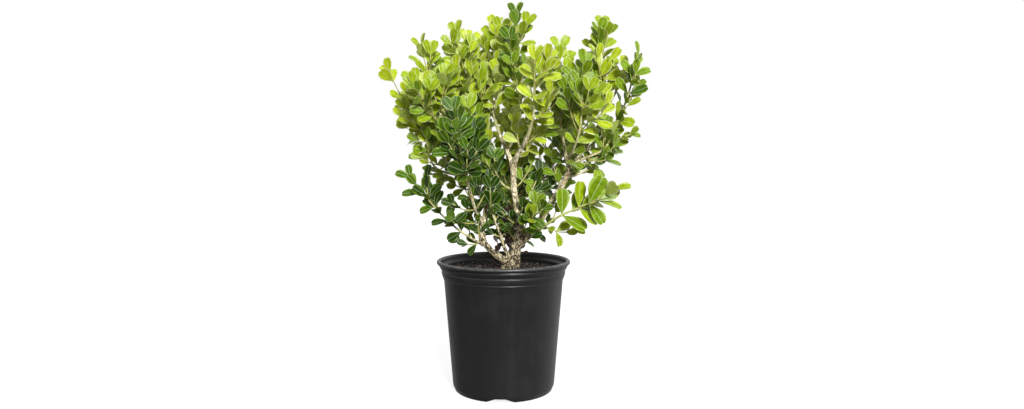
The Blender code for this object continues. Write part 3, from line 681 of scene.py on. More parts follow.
def drawn_up(name, profile, sides):
    """A round shell pulled up ring by ring through (radius, height) pairs, its ends closed."""
    start_piece()
    radius, height = profile[0]
    bpy.ops.mesh.primitive_circle_add(vertices=sides, radius=radius, location=(0, 0, height))
    piece = bpy.context.object
    piece.name = name
    bpy.ops.object.transform_apply(location=True)
    bpy.ops.object.mode_set(mode="EDIT")
    bpy.ops.mesh.select_mode(type="VERT")
    bpy.ops.mesh.select_all(action="SELECT")
    bpy.ops.mesh.edge_face_add()
    bpy.ops.mesh.delete(type="ONLY_FACE")
    bpy.ops.mesh.select_all(action="SELECT")
    for next_radius, next_height in profile[1:]:
        rise = (0, 0, next_height - height)
        bpy.ops.mesh.extrude_region_move(TRANSFORM_OT_translate={"value": rise})
        grow = next_radius / radius
        bpy.ops.transform.resize(value=(grow, grow, 1), center_override=(0, 0, next_height))
        radius, height = next_radius, next_height
    bpy.ops.mesh.edge_face_add()
    first_radius, first_height = profile[0]
    near = MM / 100
    select_where(
        piece,
        lambda place: abs(place.z - first_height) < near
        and abs(place.xy.length - first_radius) < near,
    )
    bpy.ops.mesh.edge_face_add()
    bpy.ops.mesh.select_all(action="SELECT")
    bpy.ops.mesh.normals_make_consistent(inside=False)
    bpy.ops.object.mode_set(mode="OBJECT")
    return piece


def apply_modifier(piece, kind, **settings):
    """Gives a piece a modifier with the settings, and applies it."""
    bpy.context.view_layer.objects.active = piece
    modifier = piece.modifiers.new(kind.lower(), kind)
    for setting, value in settings.items():
        setattr(modifier, setting, value)
    bpy.ops.object.modifier_apply(modifier=modifier.name)


# The pot: a turned nursery container with a rolled lip, a stepped collar and a stepped foot.
POT_SIDES = 144
POT_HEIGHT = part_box("pot")[1].z
LIP_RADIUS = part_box("pot")[1].x
LIP_ROLL = 2.6 * MM  # the radius of its rolled edge
LIP_STEPS = 16
LIP_START = 175  # degrees round the roll from outwards
LIP_TURN = 265
WALL_TOP = (75.5 * MM, 140.5 * MM)  # radius and height
WALL_BASE = (65.0 * MM, 9 * MM)
WALL_THICKNESS = 2 * MM
FOOT = (62.2 * MM, 3.8 * MM)
FOOT_STEP = 1.2 * MM
FLOOR_THICKNESS = 6 * MM
EDGE_WIDTH = 0.35 * MM  # of the bevels
EDGE_STEPS = 2
EDGE_ANGLE = 25  # degrees
SMOOTH_ANGLE = 50  # faces that meet at less look like one
BLACK = ((0.0118, 0.0118, 0.012), (0.0155, 0.0155, 0.0155))  # clean and dusty
# A darker black for the inside, the same plastic: painted shade inside the pot.
BLACK_PAINTED_SHADE_INSIDE = ((0.003, 0.003, 0.003), (0.005, 0.005, 0.005))
# The paler grey of the painted highlight along the lip's top.
LIP_PAINTED_HIGHLIGHT = (0.07, 0.07, 0.069)
LIP_HIGHLIGHT_LEVELS = (POT_HEIGHT - 3.6 * MM, POT_HEIGHT - 1.6 * MM)  # from none of the painted highlight to all of it
# (radius, height) in millimetres down the skirt under the lip: a ledge over a shallow band, and
# a bead below it.
COLLAR = (
    (80.4, 159.2), (80.7, 158.2), (81.3, 157.4), (80.9, 156.4), (79.6, 154.0),
    (78.3, 152.5), (77.7, 151.8), (78.1, 151.3), (78.6, 150.6), (78.6, 149.4),
    (78.1, 147.0), (77.3, 144.4), (76.1, 143.3), (76.5, 142.9), (76.7, 142.3),
    (76.4, 141.6), (75.8, 141.1),
)
# And up the rounded ledge inside it.
SKIRT_INSIDE = (
    (75.3, 154.6), (75.4, 155.5), (75.8, 156.3), (76.5, 156.9), (77.4, 157.2),
    (78.4, 157.9), (79.0, 159.4),
)
DRAINS = 3
DRAIN_FIRST = -93  # degrees
DRAIN_BASE = 44 * MM  # across the notch's mouth at the ground
DRAIN_TOP = 12 * MM
DRAIN_HEIGHT = 4.6 * MM
DRAIN_DEPTH = 15 * MM
DRAIN_PAST = 8 * MM  # how far its cutter stands out past the foot
DRAIN_BELOW = 2 * MM


def inner_radius(height):
    """The radius inside the pot's wall."""
    share = (height - WALL_BASE[1]) / (WALL_TOP[1] - WALL_BASE[1])
    return WALL_BASE[0] + (WALL_TOP[0] - WALL_BASE[0]) * share - WALL_THICKNESS


def drain_cutter(index):
    """A wedge with a trapezium mouth, across the foot."""
    start_piece()
    middle = FOOT[0] + (DRAIN_PAST - DRAIN_DEPTH) / 2
    depth = DRAIN_DEPTH + DRAIN_PAST
    height = DRAIN_HEIGHT + DRAIN_BELOW
    bpy.ops.mesh.primitive_cube_add(
        size=1,
        location=(middle, 0, DRAIN_HEIGHT - height / 2),
        scale=(depth, DRAIN_BASE, height),
    )
    cutter = bpy.context.object
    bpy.ops.object.transform_apply(location=True, rotation=True, scale=True)
    bpy.ops.object.mode_set(mode="EDIT")
    select_where(cutter, lambda place: place.z > DRAIN_HEIGHT - MM)
    bpy.ops.transform.resize(
        value=(1, DRAIN_TOP / DRAIN_BASE, 1), center_override=(middle, 0, DRAIN_HEIGHT)
    )
    bpy.ops.object.mode_set(mode="OBJECT")
    turn = math.radians(DRAIN_FIRST + 360 * index / DRAINS)
    cutter.data.transform(Matrix.Rotation(turn, 4, "Z"))
    return cutter


def make_pot():
    lip = []
    for step in range(LIP_STEPS):
        angle = math.radians(LIP_START - LIP_TURN * step / (LIP_STEPS - 1))
        lip.append(
            (
                LIP_RADIUS - LIP_ROLL + LIP_ROLL * math.cos(angle),
                POT_HEIGHT - LIP_ROLL + LIP_ROLL * math.sin(angle),
            )
        )
    inside, outside = (
        [(radius * MM, height * MM) for radius, height in rows] for rows in (SKIRT_INSIDE, COLLAR)
    )
    profile = [
        (inner_radius(FLOOR_THICKNESS), FLOOR_THICKNESS),
        (WALL_TOP[0] - WALL_THICKNESS, WALL_TOP[1]),
        *inside,
        *lip,
        *outside,
        WALL_TOP,
        WALL_BASE,
        (WALL_BASE[0] - FOOT_STEP / 2, FOOT[1] + FOOT_STEP),
        (FOOT[0] + FOOT_STEP, FOOT[1]),
        (FOOT[0], 0),
    ]
    pot = drawn_up("pot_shell", profile, POT_SIDES)
    for index in range(DRAINS):
        cutter = drain_cutter(index)
        apply_modifier(pot, "BOOLEAN", object=cutter, operation="DIFFERENCE")
        bpy.data.meshes.remove(cutter.data)
    angle_limit = math.radians(EDGE_ANGLE)
    edges = {"width": EDGE_WIDTH, "segments": EDGE_STEPS, "angle_limit": angle_limit}
    apply_modifier(pot, "BEVEL", limit_method="ANGLE", **edges)
    choose(pot)
    bpy.ops.object.shade_smooth_by_angle(angle=math.radians(SMOOTH_ANGLE))
    finishes = [pot_plastic("pot_outside", *BLACK), pot_plastic("pot_inside_painted_shade", *BLACK_PAINTED_SHADE_INSIDE)]
    # Faces that look inwards, above the floor, take the darker black: painted shade.
    for face in pot.data.polygons:
        inward = face.normal.x * face.center.x + face.normal.y * face.center.y < 0
        face.material_index = int(inward and face.center.z > FLOOR_THICKNESS / 2)
    return settle(pot, "pot", finishes, "pot")


# The potting mix: an uneven level surface with crumbs of bark and a few pale specks.
SOIL_SIDES = 120
SOIL_RINGS = 44
SOIL_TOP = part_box("soil")[1].z
SOIL_LEVEL = SOIL_TOP - MM
SOIL_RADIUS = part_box("soil")[1].x
LUMPS = (17 * MM, 1.5 * MM)  # how wide they are, and how high
RIPPLES = (4 * MM, 0.8 * MM)
RIPPLES_FROM = 40 * MM  # where their noise is cut, to be unlike the lumps'
MOUND = (22 * MM, 2.2 * MM)  # the slight rise to the trunk's foot
Crumbs = namedtuple("Crumbs", "count smallest largest dark pale")
CRUMBS = {
    "soil_crumbs_dark": Crumbs(1500, 1.0, 3.6, (0.003, 0.002, 0.002), (0.012, 0.008, 0.007)),
    "soil_crumbs_red": Crumbs(420, 1.0, 3.6, (0.03, 0.013, 0.01), (0.075, 0.034, 0.026)),
    "soil_crumbs_tan": Crumbs(260, 0.8, 2.6, (0.12, 0.08, 0.055), (0.26, 0.19, 0.13)),
    "soil_specks_pale": Crumbs(170, 0.6, 1.5, (0.45, 0.42, 0.38), (0.7, 0.68, 0.62)),
}
CRUMBS_INWARD = 0.72  # more of them lie near the trunk; at 0.5 they would lie evenly
CRUMBS_EDGE = 2 * MM  # they stay this far from the pot
CRUMB_WIDE = (0.45, 0.9)  # of its length
CRUMB_HIGH = (0.3, 0.7)
CRUMB_KNOCKED = (0.72, 1.2)  # how far in or out a corner stands
CRUMB_TILT = 0.6
CRUMB_LIES = 0.12  # of its length, how far its middle is above the mix


def soil_height(x, y):
    """The level of the mix: lumps, ripples, and a slight rise to the trunk's foot."""
    lumps = noise.noise(Vector((x, y, 0)) / LUMPS[0]) * LUMPS[1]
    ripples = noise.noise(Vector((x, y, RIPPLES_FROM)) / RIPPLES[0]) * RIPPLES[1]
    from_foot = math.hypot(x - TRUNK_FOOT.x, y - TRUNK_FOOT.y)
    mound = MOUND[1] * math.exp(-((from_foot / MOUND[0]) ** 2))
    return SOIL_LEVEL + lumps + ripples + mound


def make_soil():
    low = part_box("soil")[0].z
    profile = [(inner_radius(low) - 2 * GAP, low)]
    for ring in range(SOIL_RINGS):
        profile.append((SOIL_RADIUS * (1 - ring / SOIL_RINGS), SOIL_LEVEL))
    soil = drawn_up("soil_bed", profile, SOIL_SIDES)
    for vertex in soil.data.vertices:
        if vertex.co.z > SOIL_LEVEL - MM:
            vertex.co.z = soil_height(vertex.co.x, vertex.co.y)
    soil.data.shade_smooth()
    settle(soil, "soil", [potting_mix()], "soil")
    for name, crumbs in CRUMBS.items():
        scatter(name, crumbs)


def scatter(name, crumbs):
    """Angular crumbs, strewn over the mix and half sunk in it."""
    start_piece()
    bpy.ops.mesh.primitive_ico_sphere_add(subdivisions=1, radius=0.5)
    model = bpy.context.object
    shape = np.array([vertex.co for vertex in model.data.vertices])
    faces = np.array([polygon.vertices for polygon in model.data.polygons])
    bpy.data.meshes.remove(model.data)
    chance = np.random.default_rng(len(name) * 101 + crumbs.count)
    points = []
    for _ in range(crumbs.count):
        reach = (SOIL_RADIUS - CRUMBS_EDGE) * chance.random() ** CRUMBS_INWARD
        angle = chance.random() * math.tau
        x = reach * math.cos(angle)
        y = reach * math.sin(angle)
        size = crumbs.smallest + (crumbs.largest - crumbs.smallest) * chance.random() ** 2
        stretch = np.array([1, chance.uniform(*CRUMB_WIDE), chance.uniform(*CRUMB_HIGH)]) * size * MM
        knocked = shape * chance.uniform(*CRUMB_KNOCKED, (len(shape), 1)) * stretch
        tilt = Matrix.Rotation(chance.uniform(-CRUMB_TILT, CRUMB_TILT), 3, "X")
        spin = Matrix.Rotation(chance.uniform(0, math.tau), 3, "Z")
        turned = knocked @ np.array(spin @ tilt).T
        points.append(turned + (x, y, soil_height(x, y) + size * MM * CRUMB_LIES))
    settle(copies(name, points, faces), "soil", [crumb(name, crumbs.dark, crumbs.pale)])


def copies(name, points, faces):
    """One piece of many like shapes: each entry of points is one copy's corners."""
    corners = len(points[0])
    whole = []
    for first in range(0, len(points) * corners, corners):
        whole += [[first + corner for corner in face] for face in faces]
    return put_mesh(name, np.concatenate(points).tolist(), whole)


# ---- trunk and boughs ----

TUBE_STEP = 4 * MM
BARK_VOXEL = 0.8 * MM
BARK_SIDES = 20
BARK_SOFTEN = 2  # rounds of smoothing over the forks
COLLAR_SWELL = 0.28  # of a limb's radius, where it leaves its parent
COLLAR_LENGTH = 2.2  # in radii
TRUNK_SUNK = 3  # millimetres that it goes on down into the mix
TRUNK_SPREAD = 1.08  # of its radius there
STEM_SUNK = 2 * MM  # into the tip of its bough
TRUNK_STEM_SUNK = 3 * MM
WOODY_STEPS = 3  # of a stem's steps above its bough, which have bark too
WOODY_TAPER = 0.62  # of the radius at its foot, where its bark ends
WOODY_THIN = 1.25 * MM
TRUNK_STEM_THICK = 1.43 * MM
# Age goes from 0, green and smooth, to 1, cream and cracked.
LIMB_AGE = 0.55
AGED_RADIUS = 6  # millimetres of a limb's radius that add 1 to that
STEM_AGE = 0.45
GREEN_AGE = 0.05
GREEN_SHOOTS = ("branch_low_right",)  # a young shoot low on the trunk
CRACK_WIDE = 1.7 * MM  # between cracks, across a limb
CRACK_LONG = 6.5 * MM
CRACK_THIN = 0.2
CRACK_SHIFT = 7.3  # millimetres from limb to limb, so that no two crack alike
PLATES = 0.45  # how many of them to each crack
PLATES_FROM = Vector((7, 3, 1))  # so that they lie unlike the cracks
ROUGHNESS = 2.3  # how many of its rises to each crack
PLATE_RELIEF = 0.55
ROUGH_RELIEF = 0.2
CRACK_RELIEF = 0.8
RELIEF = 0.2  # of a limb's radius
RELIEF_MOST = 0.9 * MM
PAINTED_SHADE_HEIGHT = 55 * MM  # painted shade: the bark is darker down to the soil
FLARE_HEIGHT = 28 * MM
FLARE_LOBES = 5
FLARE_RIDGE = 0.12  # of the trunk's radius


def tapered(thick, thin, count):
    """Radii that go evenly from thick to thin."""
    return np.linspace(thick, thin, count).tolist()


def fine_path(path, radii):
    """The path and its radii again with points no further apart than TUBE_STEP."""
    fine = [path[0]]
    fine_radii = [radii[0]]
    along = tangents(path)
    for index, run in enumerate(runs_of(path)):
        start, end = path[index : index + 2]
        first = start + along[index] * run / 3
        second = end - along[index + 1] * run / 3
        pieces = max(1, math.ceil(run / TUBE_STEP))
        for piece in range(1, pieces + 1):
            t = piece / pieces
            fine.append(on_curve(t, start, first, second, end))
            fine_radii.append(radii[index] * (1 - t) + radii[index + 1] * t)
    return fine, fine_radii


def tube_arrays(path, radii, sides):
    """Corners and faces of a closed tube along a path."""
    rings = []
    for centre, radius, (a, b) in zip(path, radii, frames(path)):
        for side in range(sides):
            angle = math.tau * side / sides
            rings.append(centre + (a * math.cos(angle) + b * math.sin(angle)) * radius)
    faces = []
    for ring in range(len(path) - 1):
        for side in range(sides):
            low = ring * sides + side
            after = ring * sides + (side + 1) % sides
            faces.append((low, after, after + sides, low + sides))
    last = (len(path) - 1) * sides
    faces.append(tuple(reversed(range(sides))))
    faces.append(tuple(range(last, last + sides)))
    return rings, faces


def joined_tubes(name, tubes, sides):
    """One piece of the (path, radii) tubes."""
    corners = []
    faces = []
    for path, radii in tubes:
        points, around = tube_arrays(path, radii, sides)
        faces += [tuple(corner + len(corners) for corner in face) for face in around]
        corners += points
    return put_mesh(name, corners, faces)


def swollen(path, radii):
    """A limb's radii with a collar where it leaves its parent."""
    found = []
    gone = 0.0
    for radius, run in zip(radii, [0.0, *runs_of(path)]):
        gone += run
        fade = math.exp(-gone / (COLLAR_LENGTH * radii[0]))
        found.append(radius * (1 + COLLAR_SWELL * fade))
    return found


def stem_radii(grown):
    """A stem's radii at its foot and where its bark ends."""
    thick = TRUNK_STEM_THICK if grown.share < 1 else LIMBS[grown.limb].thin * MM
    return thick, max(WOODY_THIN, thick * WOODY_TAPER)


def wooden_limbs():
    """(path, radii, age) of all that bark covers: the limbs, and the lower part of each stem."""
    wood = []
    for name, path in limbs.items():
        path, radii = fine_path(path, limb_radii(name, len(path)))
        if LIMBS[name].parent:
            radii = swollen(path, radii)
            path = [path[0] - tangents(path)[0] * radii[0], *path]
            radii = [radii[0], *radii]
        else:
            path = [path[0] - UP * TRUNK_SUNK * MM, *path]
            radii = [radii[0] * TRUNK_SPREAD, *radii]
        age = min(1.0, LIMB_AGE + LIMBS[name].thin / AGED_RADIUS)
        wood.append((path, radii, GREEN_AGE if name in GREEN_SHOOTS else age))
    for mass, stem in stems.items():
        grown = MASSES[mass]
        path = stem[: WOODY_STEPS + 1]
        path, radii = fine_path(path, tapered(*stem_radii(grown), len(path)))
        sunk = STEM_CLEAR + TRUNK_STEM_SUNK if grown.share < 1 else STEM_SUNK
        path = [path[0] - tangents(path)[0] * sunk, *path]
        age = GREEN_AGE if grown.limb in GREEN_SHOOTS else STEM_AGE
        wood.append((path, [radii[0], *radii], age))
    return wood


def make_bark():
    """One skin over trunk, boughs and woody stems: their forks run together, with relief."""
    wood = wooden_limbs()
    skin = joined_tubes("bark_skin", [(path, radii) for path, radii, _ in wood], BARK_SIDES)
    start_piece()
    apply_modifier(skin, "REMESH", mode="VOXEL", voxel_size=BARK_VOXEL, adaptivity=0)
    apply_modifier(skin, "SMOOTH", factor=0.5, iterations=BARK_SOFTEN)
    carve_bark(skin, wood)
    skin.data.shade_smooth()
    return settle(skin, "bark", [bark()], *LIMBS)


def vertex_values(mesh, kind):
    """The places ("co") or normals of a mesh's vertices, one to a row."""
    values = np.empty(len(mesh.vertices) * 3)
    mesh.vertices.foreach_get(kind, values)
    return values.reshape(-1, 3)


def carve_bark(skin, wood):
    """Moves the skin in and out along its normals, and keeps the cracks, age and painted shade as
    attributes.
    """
    places = vertex_values(skin.data, "co")
    normals = vertex_values(skin.data, "normal")
    count = len(places)
    nearest = np.full(count, np.inf)
    local = np.zeros((count, 3))
    girth = np.zeros(count)
    age = np.zeros(count)
    for order, (path, radii, limb_age) in enumerate(wood):
        run_so_far = CRACK_SHIFT * order * MM
        for index, (a, b) in enumerate(frames(path)[:-1]):
            start = np.array(path[index])
            run = np.array(path[index + 1]) - start
            length = np.linalg.norm(run)
            offset = places - start
            share = np.clip(offset @ run / length**2, 0, 1)
            across = offset - share[:, None] * run
            radius = radii[index] + (radii[index + 1] - radii[index]) * share
            gap = np.linalg.norm(across, axis=1) - radius
            closer = gap < nearest
            nearest[closer] = gap[closer]
            local[closer, 0] = across[closer] @ np.array(a)
            local[closer, 1] = across[closer] @ np.array(b)
            local[closer, 2] = run_so_far + share[closer] * length
            girth[closer] = radius[closer]
            age[closer] = limb_age
            run_so_far += length
    crack = np.zeros(count)
    push = np.zeros(count)
    for index in range(count):
        x, y, z = local[index]
        coarse = Vector((x / CRACK_WIDE, y / CRACK_WIDE, z / CRACK_LONG))
        lines = abs(noise.noise(coarse)) / CRACK_THIN
        crack[index] = max(0.0, 1 - lines)
        plates = noise.noise(coarse * PLATES + PLATES_FROM)
        rough = noise.noise(coarse * ROUGHNESS)
        push[index] = PLATE_RELIEF * plates + ROUGH_RELIEF * rough - CRACK_RELIEF * crack[index]
    depth = np.minimum(girth * RELIEF, RELIEF_MOST)
    foot = np.clip(1 - (places[:, 2] - TRUNK_FOOT.z) / FLARE_HEIGHT, 0, 1) ** 2
    around = np.arctan2(places[:, 1] - TRUNK_FOOT.y, places[:, 0] - TRUNK_FOOT.x)
    ridges = girth * FLARE_RIDGE * foot * np.cos(FLARE_LOBES * around)
    move = push * depth + ridges
    skin.data.vertices.foreach_set("co", (places + normals * move[:, None]).ravel())
    # Painted shade: darkest at the trunk's foot, gone a little way up.
    painted_shade = np.clip(1 - (places[:, 2] - TRUNK_FOOT.z) / PAINTED_SHADE_HEIGHT, 0, 1)
    for name, values in (("crack", crack * age), ("age", age), ("painted_shade", painted_shade)):
        keep_numbers(skin.data, name, values)
    skin.data.update()


# ---- foliage ----


def segment_distances(points, starts, runs):
    """Distances from each point (rows) to each piece of some paths (columns)."""
    offset = points[:, None] - starts[None]
    share = (offset * runs).sum(axis=2) / (runs * runs).sum(axis=1)
    share = np.clip(share, 0, 1)[..., None]
    return np.linalg.norm(offset - runs * share, axis=2)


class Space:
    """Who may grow where: each mass about its own stem, and everything clear of the limbs."""

    def __init__(self):
        self.masses = list(stems)
        self.starts, self.runs, self.owners = self.pieces(stems.values())
        self.limb_starts, self.limb_runs, _ = self.pieces(limbs.values())
        clear = []
        for name, path in limbs.items():
            radii = np.array(limb_radii(name, len(path)))
            clear.append(np.maximum(radii[1:], radii[:-1]) + LIMB_MARGIN)
        self.clear = np.concatenate(clear)

    @staticmethod
    def pieces(paths):
        starts = []
        runs = []
        owners = []
        for owner, path in enumerate(paths):
            points = np.array(path)
            starts.append(points[:-1])
            runs.append(points[1:] - points[:-1])
            owners.append(np.full(len(path) - 1, owner))
        return np.concatenate(starts), np.concatenate(runs), np.concatenate(owners)

    def allows(self, mass, points):
        points = np.array([tuple(point) for point in points])
        if (segment_distances(points, self.limb_starts, self.limb_runs) < self.clear).any():
            return False
        if mass not in MASSES:
            return True
        gaps = segment_distances(points, self.starts, self.runs)
        mine = self.owners == self.masses.index(mass)
        own = gaps[:, mine].min(axis=1)
        return bool((gaps[:, ~mine].min(axis=1) - own > SPACE_MARGIN).all())


class Neighbours:
    """The leaves placed so far, in a grid of cells, so that a new one crosses none of them."""

    def __init__(self):
        self.cells = {}
        self.faces = [(0, 1, 2), (0, 2, 3), (0, 3, 4)]

    def takes(self, outline, clear_of_root):
        blade = [outline[0].lerp(outline[2], clear_of_root), *outline[1:]]
        tree = BVHTree.FromPolygons(blade, self.faces)
        low = [math.floor(min(point[axis] for point in blade) / CELL) for axis in range(3)]
        high = [math.floor(max(point[axis] for point in blade) / CELL) for axis in range(3)]
        keys = [
            (x, y, z)
            for x in range(low[0], high[0] + 1)
            for y in range(low[1], high[1] + 1)
            for z in range(low[2], high[2] + 1)
        ]
        near = {id(other): other for key in keys for other in self.cells.get(key, ())}
        if any(tree.overlap(other) for other in near.values()):
            return False
        for key in keys:
            self.cells.setdefault(key, []).append(tree)
        return True


def nodes_of(path, bare):
    """(point, direction) from a shoot's tip down to its bare foot, a node step apart."""
    runs = runs_of(path)
    total = sum(runs)
    along = tangents(path)
    found = []
    back = TIP_SET
    while back <= total * (1 - bare):
        place = total - back
        index = 0
        while index < len(runs) - 1 and place > runs[index]:
            place -= runs[index]
            index += 1
        share = min(place / runs[index], 1)
        point = path[index].lerp(path[index + 1], share)
        found.append((point, along[index].lerp(along[index + 1], share).normalized()))
        back += NODE_STEP
    return found


def pair_sides(tangent, node, turn):
    """The two opposite sides of a shoot that a node's pair faces, crossed from node to node."""
    level = tangent.cross(FACING)
    if level.length < NEAR_FACING:
        level = tangent.orthogonal()
    level.normalize()
    side = Matrix.Rotation(turn + node * math.pi / 2, 3, tangent) @ level
    return side, -side


def axils(seed, sides, habit, full=1.0):
    """(order, side, length, angle) of the shoots that grow at a node."""
    chance = random.Random(seed)
    for order, side in enumerate(sides):
        grows = chance.random() < habit.odds
        length = full * chance.uniform(*habit.reach)
        angle = math.radians(habit.spread + chance.uniform(-ANGLE_VARIES, ANGLE_VARIES))
        if grows:
            yield order, side, length, angle


def side_shoots(mass, stem, space):
    """(key, path) of the shoots in the stem's axils, the longest near its foot."""
    turn = random.Random(f"{mass} turn").uniform(0, math.pi)
    found = []
    for node, (point, tangent) in enumerate(nodes_of(stem, BARE_SHARE)):
        if node < FIRST_SIDE or (node - FIRST_SIDE) % SIDE_EVERY:
            continue
        sides = pair_sides(tangent, (node - FIRST_SIDE) // SIDE_EVERY, turn)
        full = node * NODE_STEP * MASSES[mass].side + SIDE_EXTRA
        for order, side, length, angle in axils(f"{mass} shoots {node}", sides, SIDE_HABIT, full):
            path = shoot_path(mass, point, tangent, side, length, angle, space, SIDE_HABIT.lift)
            if path:
                found.append((f"{node} {order}", path))
    return found


def shoot_path(mass, point, tangent, side, length, angle, space, lift):
    """The first way out from an axil that stays in the mass's space, or None."""
    for angle_share, length_share in SHOOT_TRIES:
        turned = angle * angle_share
        leave = tangent * math.cos(turned) + side * math.sin(turned)
        aim = (leave + UP * lift / 2).normalized()
        end = point + aim * length * length_share
        path = curve_path(point, end, leave, leave + UP * lift, TWIG_STEPS)
        if space.allows(mass, path[2:]):
            return path
    return None


def fine_shoots(mass, key, shoot, space):
    """(key, path) of finer shoots in the axils of a long side shoot."""
    if sum(runs_of(shoot)) < FINE_LEAST:
        return []
    turn = random.Random(f"{mass} {key} fine turn").uniform(0, math.pi)
    found = []
    for node, (point, tangent) in enumerate(nodes_of(shoot, FINE_BARE)):
        if node < FINE_FIRST:
            continue
        sides = pair_sides(tangent, node, turn)
        full = node * NODE_STEP * FINE_SHARE + FINE_EXTRA
        seed = f"{mass} {key} fine {node}"
        for order, side, length, angle in axils(seed, sides, FINE_HABIT, full):
            path = shoot_path(mass, point, tangent, side, length, angle, space, FINE_HABIT.lift)
            if path:
                found.append((f"{key} fine {node} {order}", path))
    return found


def bough_shoots(name, path, space):
    """(key, path) of short leafy shoots on a bough's bark."""
    radii = limb_radii(name, len(path))
    turn = random.Random(f"{name} shoots turn").uniform(0, math.pi)
    in_front = 0.0
    if not LIMBS[name].parent:
        turn = TRUNK_TURN
        in_front = TRUNK_FRONT
    found = []
    places = nodes_of(path, BOUGH_BARE)
    for node, (point, tangent) in enumerate(places):
        if point.z < BOUGH_LOWEST:
            continue
        radius = radii[round((1 - node / len(places)) * (len(radii) - 1))]
        sides = pair_sides(tangent, node, turn)
        for order, side, length, angle in axils(f"{name} shoots {node}", sides, BOUGH_HABIT):
            if side.y < BOUGH_FRONT and point.z > in_front:
                continue
            start = point + side * radius * SHOOT_FOOT
            shoot = shoot_path(name, start, tangent, side, length, angle, space, BOUGH_HABIT.lift)
            if shoot:
                found.append((f"bough {node} {order}", shoot))
    return found


def dry_shoots(name, path):
    """(key, path) of short dead shoots low on a bough."""
    radius = limb_radii(name, len(path))[-1]
    length = sum(runs_of(path))
    leads = tangents(path)
    found = []
    for node in range(1, int(length / DRY_STEP)):
        share = node * DRY_STEP / length
        point = point_along(path, share)
        tangent = leads[int(share * (len(path) - 1))]
        if not DRY_LEVELS[0] < point.z < DRY_LEVELS[1]:
            continue
        chance = random.Random(f"{name} dry {node}")
        for order, side in enumerate(pair_sides(tangent, node, chance.uniform(0, math.tau))):
            grows = chance.random() < DRY_ODDS
            reach = chance.uniform(*DRY_REACH)
            angle = math.radians(chance.uniform(*DRY_SPREAD))
            leave = tangent * math.cos(angle) + side * math.sin(angle)
            end = point + (leave + UP * DRY_LIFT).normalized() * reach
            near = (end.xy - TRUNK_FOOT.xy).length < DRY_WITHIN
            if not grows or not near or side.y < DRY_FRONT:
                continue
            start = point + side * radius * SHOOT_FOOT
            shoot = curve_path(start, end, leave, leave + UP, TWIG_STEPS)
            found.append((f"dry {node} {order}", shoot))
    return found


# A leaf's outline: how far along its edges and its midrib a row is, and how wide it is.
LEAF_ROWS = (
    (0.0, 0.0, 0.07),
    (0.12, 0.12, 0.2),
    (0.3, 0.3, 0.58),
    (0.48, 0.48, 0.87),
    (0.66, 0.66, 1.0),
    (0.82, 0.81, 0.93),
    (0.94, 0.92, 0.68),
    (1.0, 0.955, 0.3),
)
LEAF_MARGIN = 0.87  # share of the half width out to the pale margin
LEAF_THICK = 0.02  # of its length
LEAF_CUP = (0.05, 0.3)  # how far its edges stand up, as a share of its half width
LEAF_BEND = (-0.16, 0.05)  # how far its tip dips, as a share of its length
LEAF_SLIM = (0.88, 1.1)
LEAF_SHARP = 60  # degrees, between its faces at its edges
ROW_CORNERS = 6
EDGE = 4  # the last of a row's corners on the upper face
BELOW = 5  # the corner below the midrib
STALK_CLEAR = 0.18  # of a leaf that other leaves may stand in
BLADE, RIB, UNDER = range(3)
Leaf = namedtuple("Leaf", "root along side up length wide cup bend")


def leaf_shape():
    """(corners, faces, finishes) of a leaf along +X, a lens whose rows are closed below.

    A corner is (share along, share of the half width across, 1 below the midrib)."""
    corners = []
    for edge, middle, wide in LEAF_ROWS:
        for across in (-1, -LEAF_MARGIN, 0, LEAF_MARGIN, 1):
            along = middle + (edge - middle) * abs(across)
            corners.append((along, across * wide, 0))
        corners.append((middle, 0, 1))
    faces = []
    finishes = []
    for row in range(len(LEAF_ROWS) - 1):
        here = row * ROW_CORNERS
        after = here + ROW_CORNERS
        for strip, finish in enumerate((RIB, BLADE, BLADE, RIB)):
            faces.append((here + strip, after + strip, after + strip + 1, here + strip + 1))
            finishes.append(finish)
        faces.append((here + BELOW, after + BELOW, after, here))
        faces.append((here + EDGE, after + EDGE, after + BELOW, here + BELOW))
        finishes += [UNDER, UNDER]
    last = len(corners) - ROW_CORNERS
    for strip in range(EDGE):
        faces.append((strip, strip + 1, BELOW))
        faces.append((last + strip + 1, last + strip, last + BELOW))
        finishes += [UNDER, RIB]
    return np.array(corners), faces, finishes


def leaf_points(leaf, shape):
    """The shape's corners where one leaf stands, cupped and bent."""
    along = shape[:, 0] * leaf.length
    across = shape[:, 1] * leaf.wide
    lift = leaf.cup * leaf.wide * shape[:, 1] ** 2 + leaf.bend * leaf.length * shape[:, 0] ** 2
    lift = lift - shape[:, 2] * LEAF_THICK * leaf.length
    return (
        np.array(leaf.root)
        + along[:, None] * np.array(leaf.along)
        + across[:, None] * np.array(leaf.side)
        + lift[:, None] * np.array(leaf.up)
    )


def leaf_outline(leaf):
    """The five corners of a leaf's flat outline, for telling whether it crosses another."""
    ends = ((0.0, 0.0), (LEAF_WIDEST, -1), (1.0, -LEAF_TIP), (1.0, LEAF_TIP), (LEAF_WIDEST, 1))
    return [
        leaf.root + leaf.along * leaf.length * along + leaf.side * leaf.wide * across
        for along, across in ends
    ]


def scattered(chance, most):
    """A small offset, up to most along each axis."""
    return Vector([chance.uniform(-most, most) for _ in range(3)])


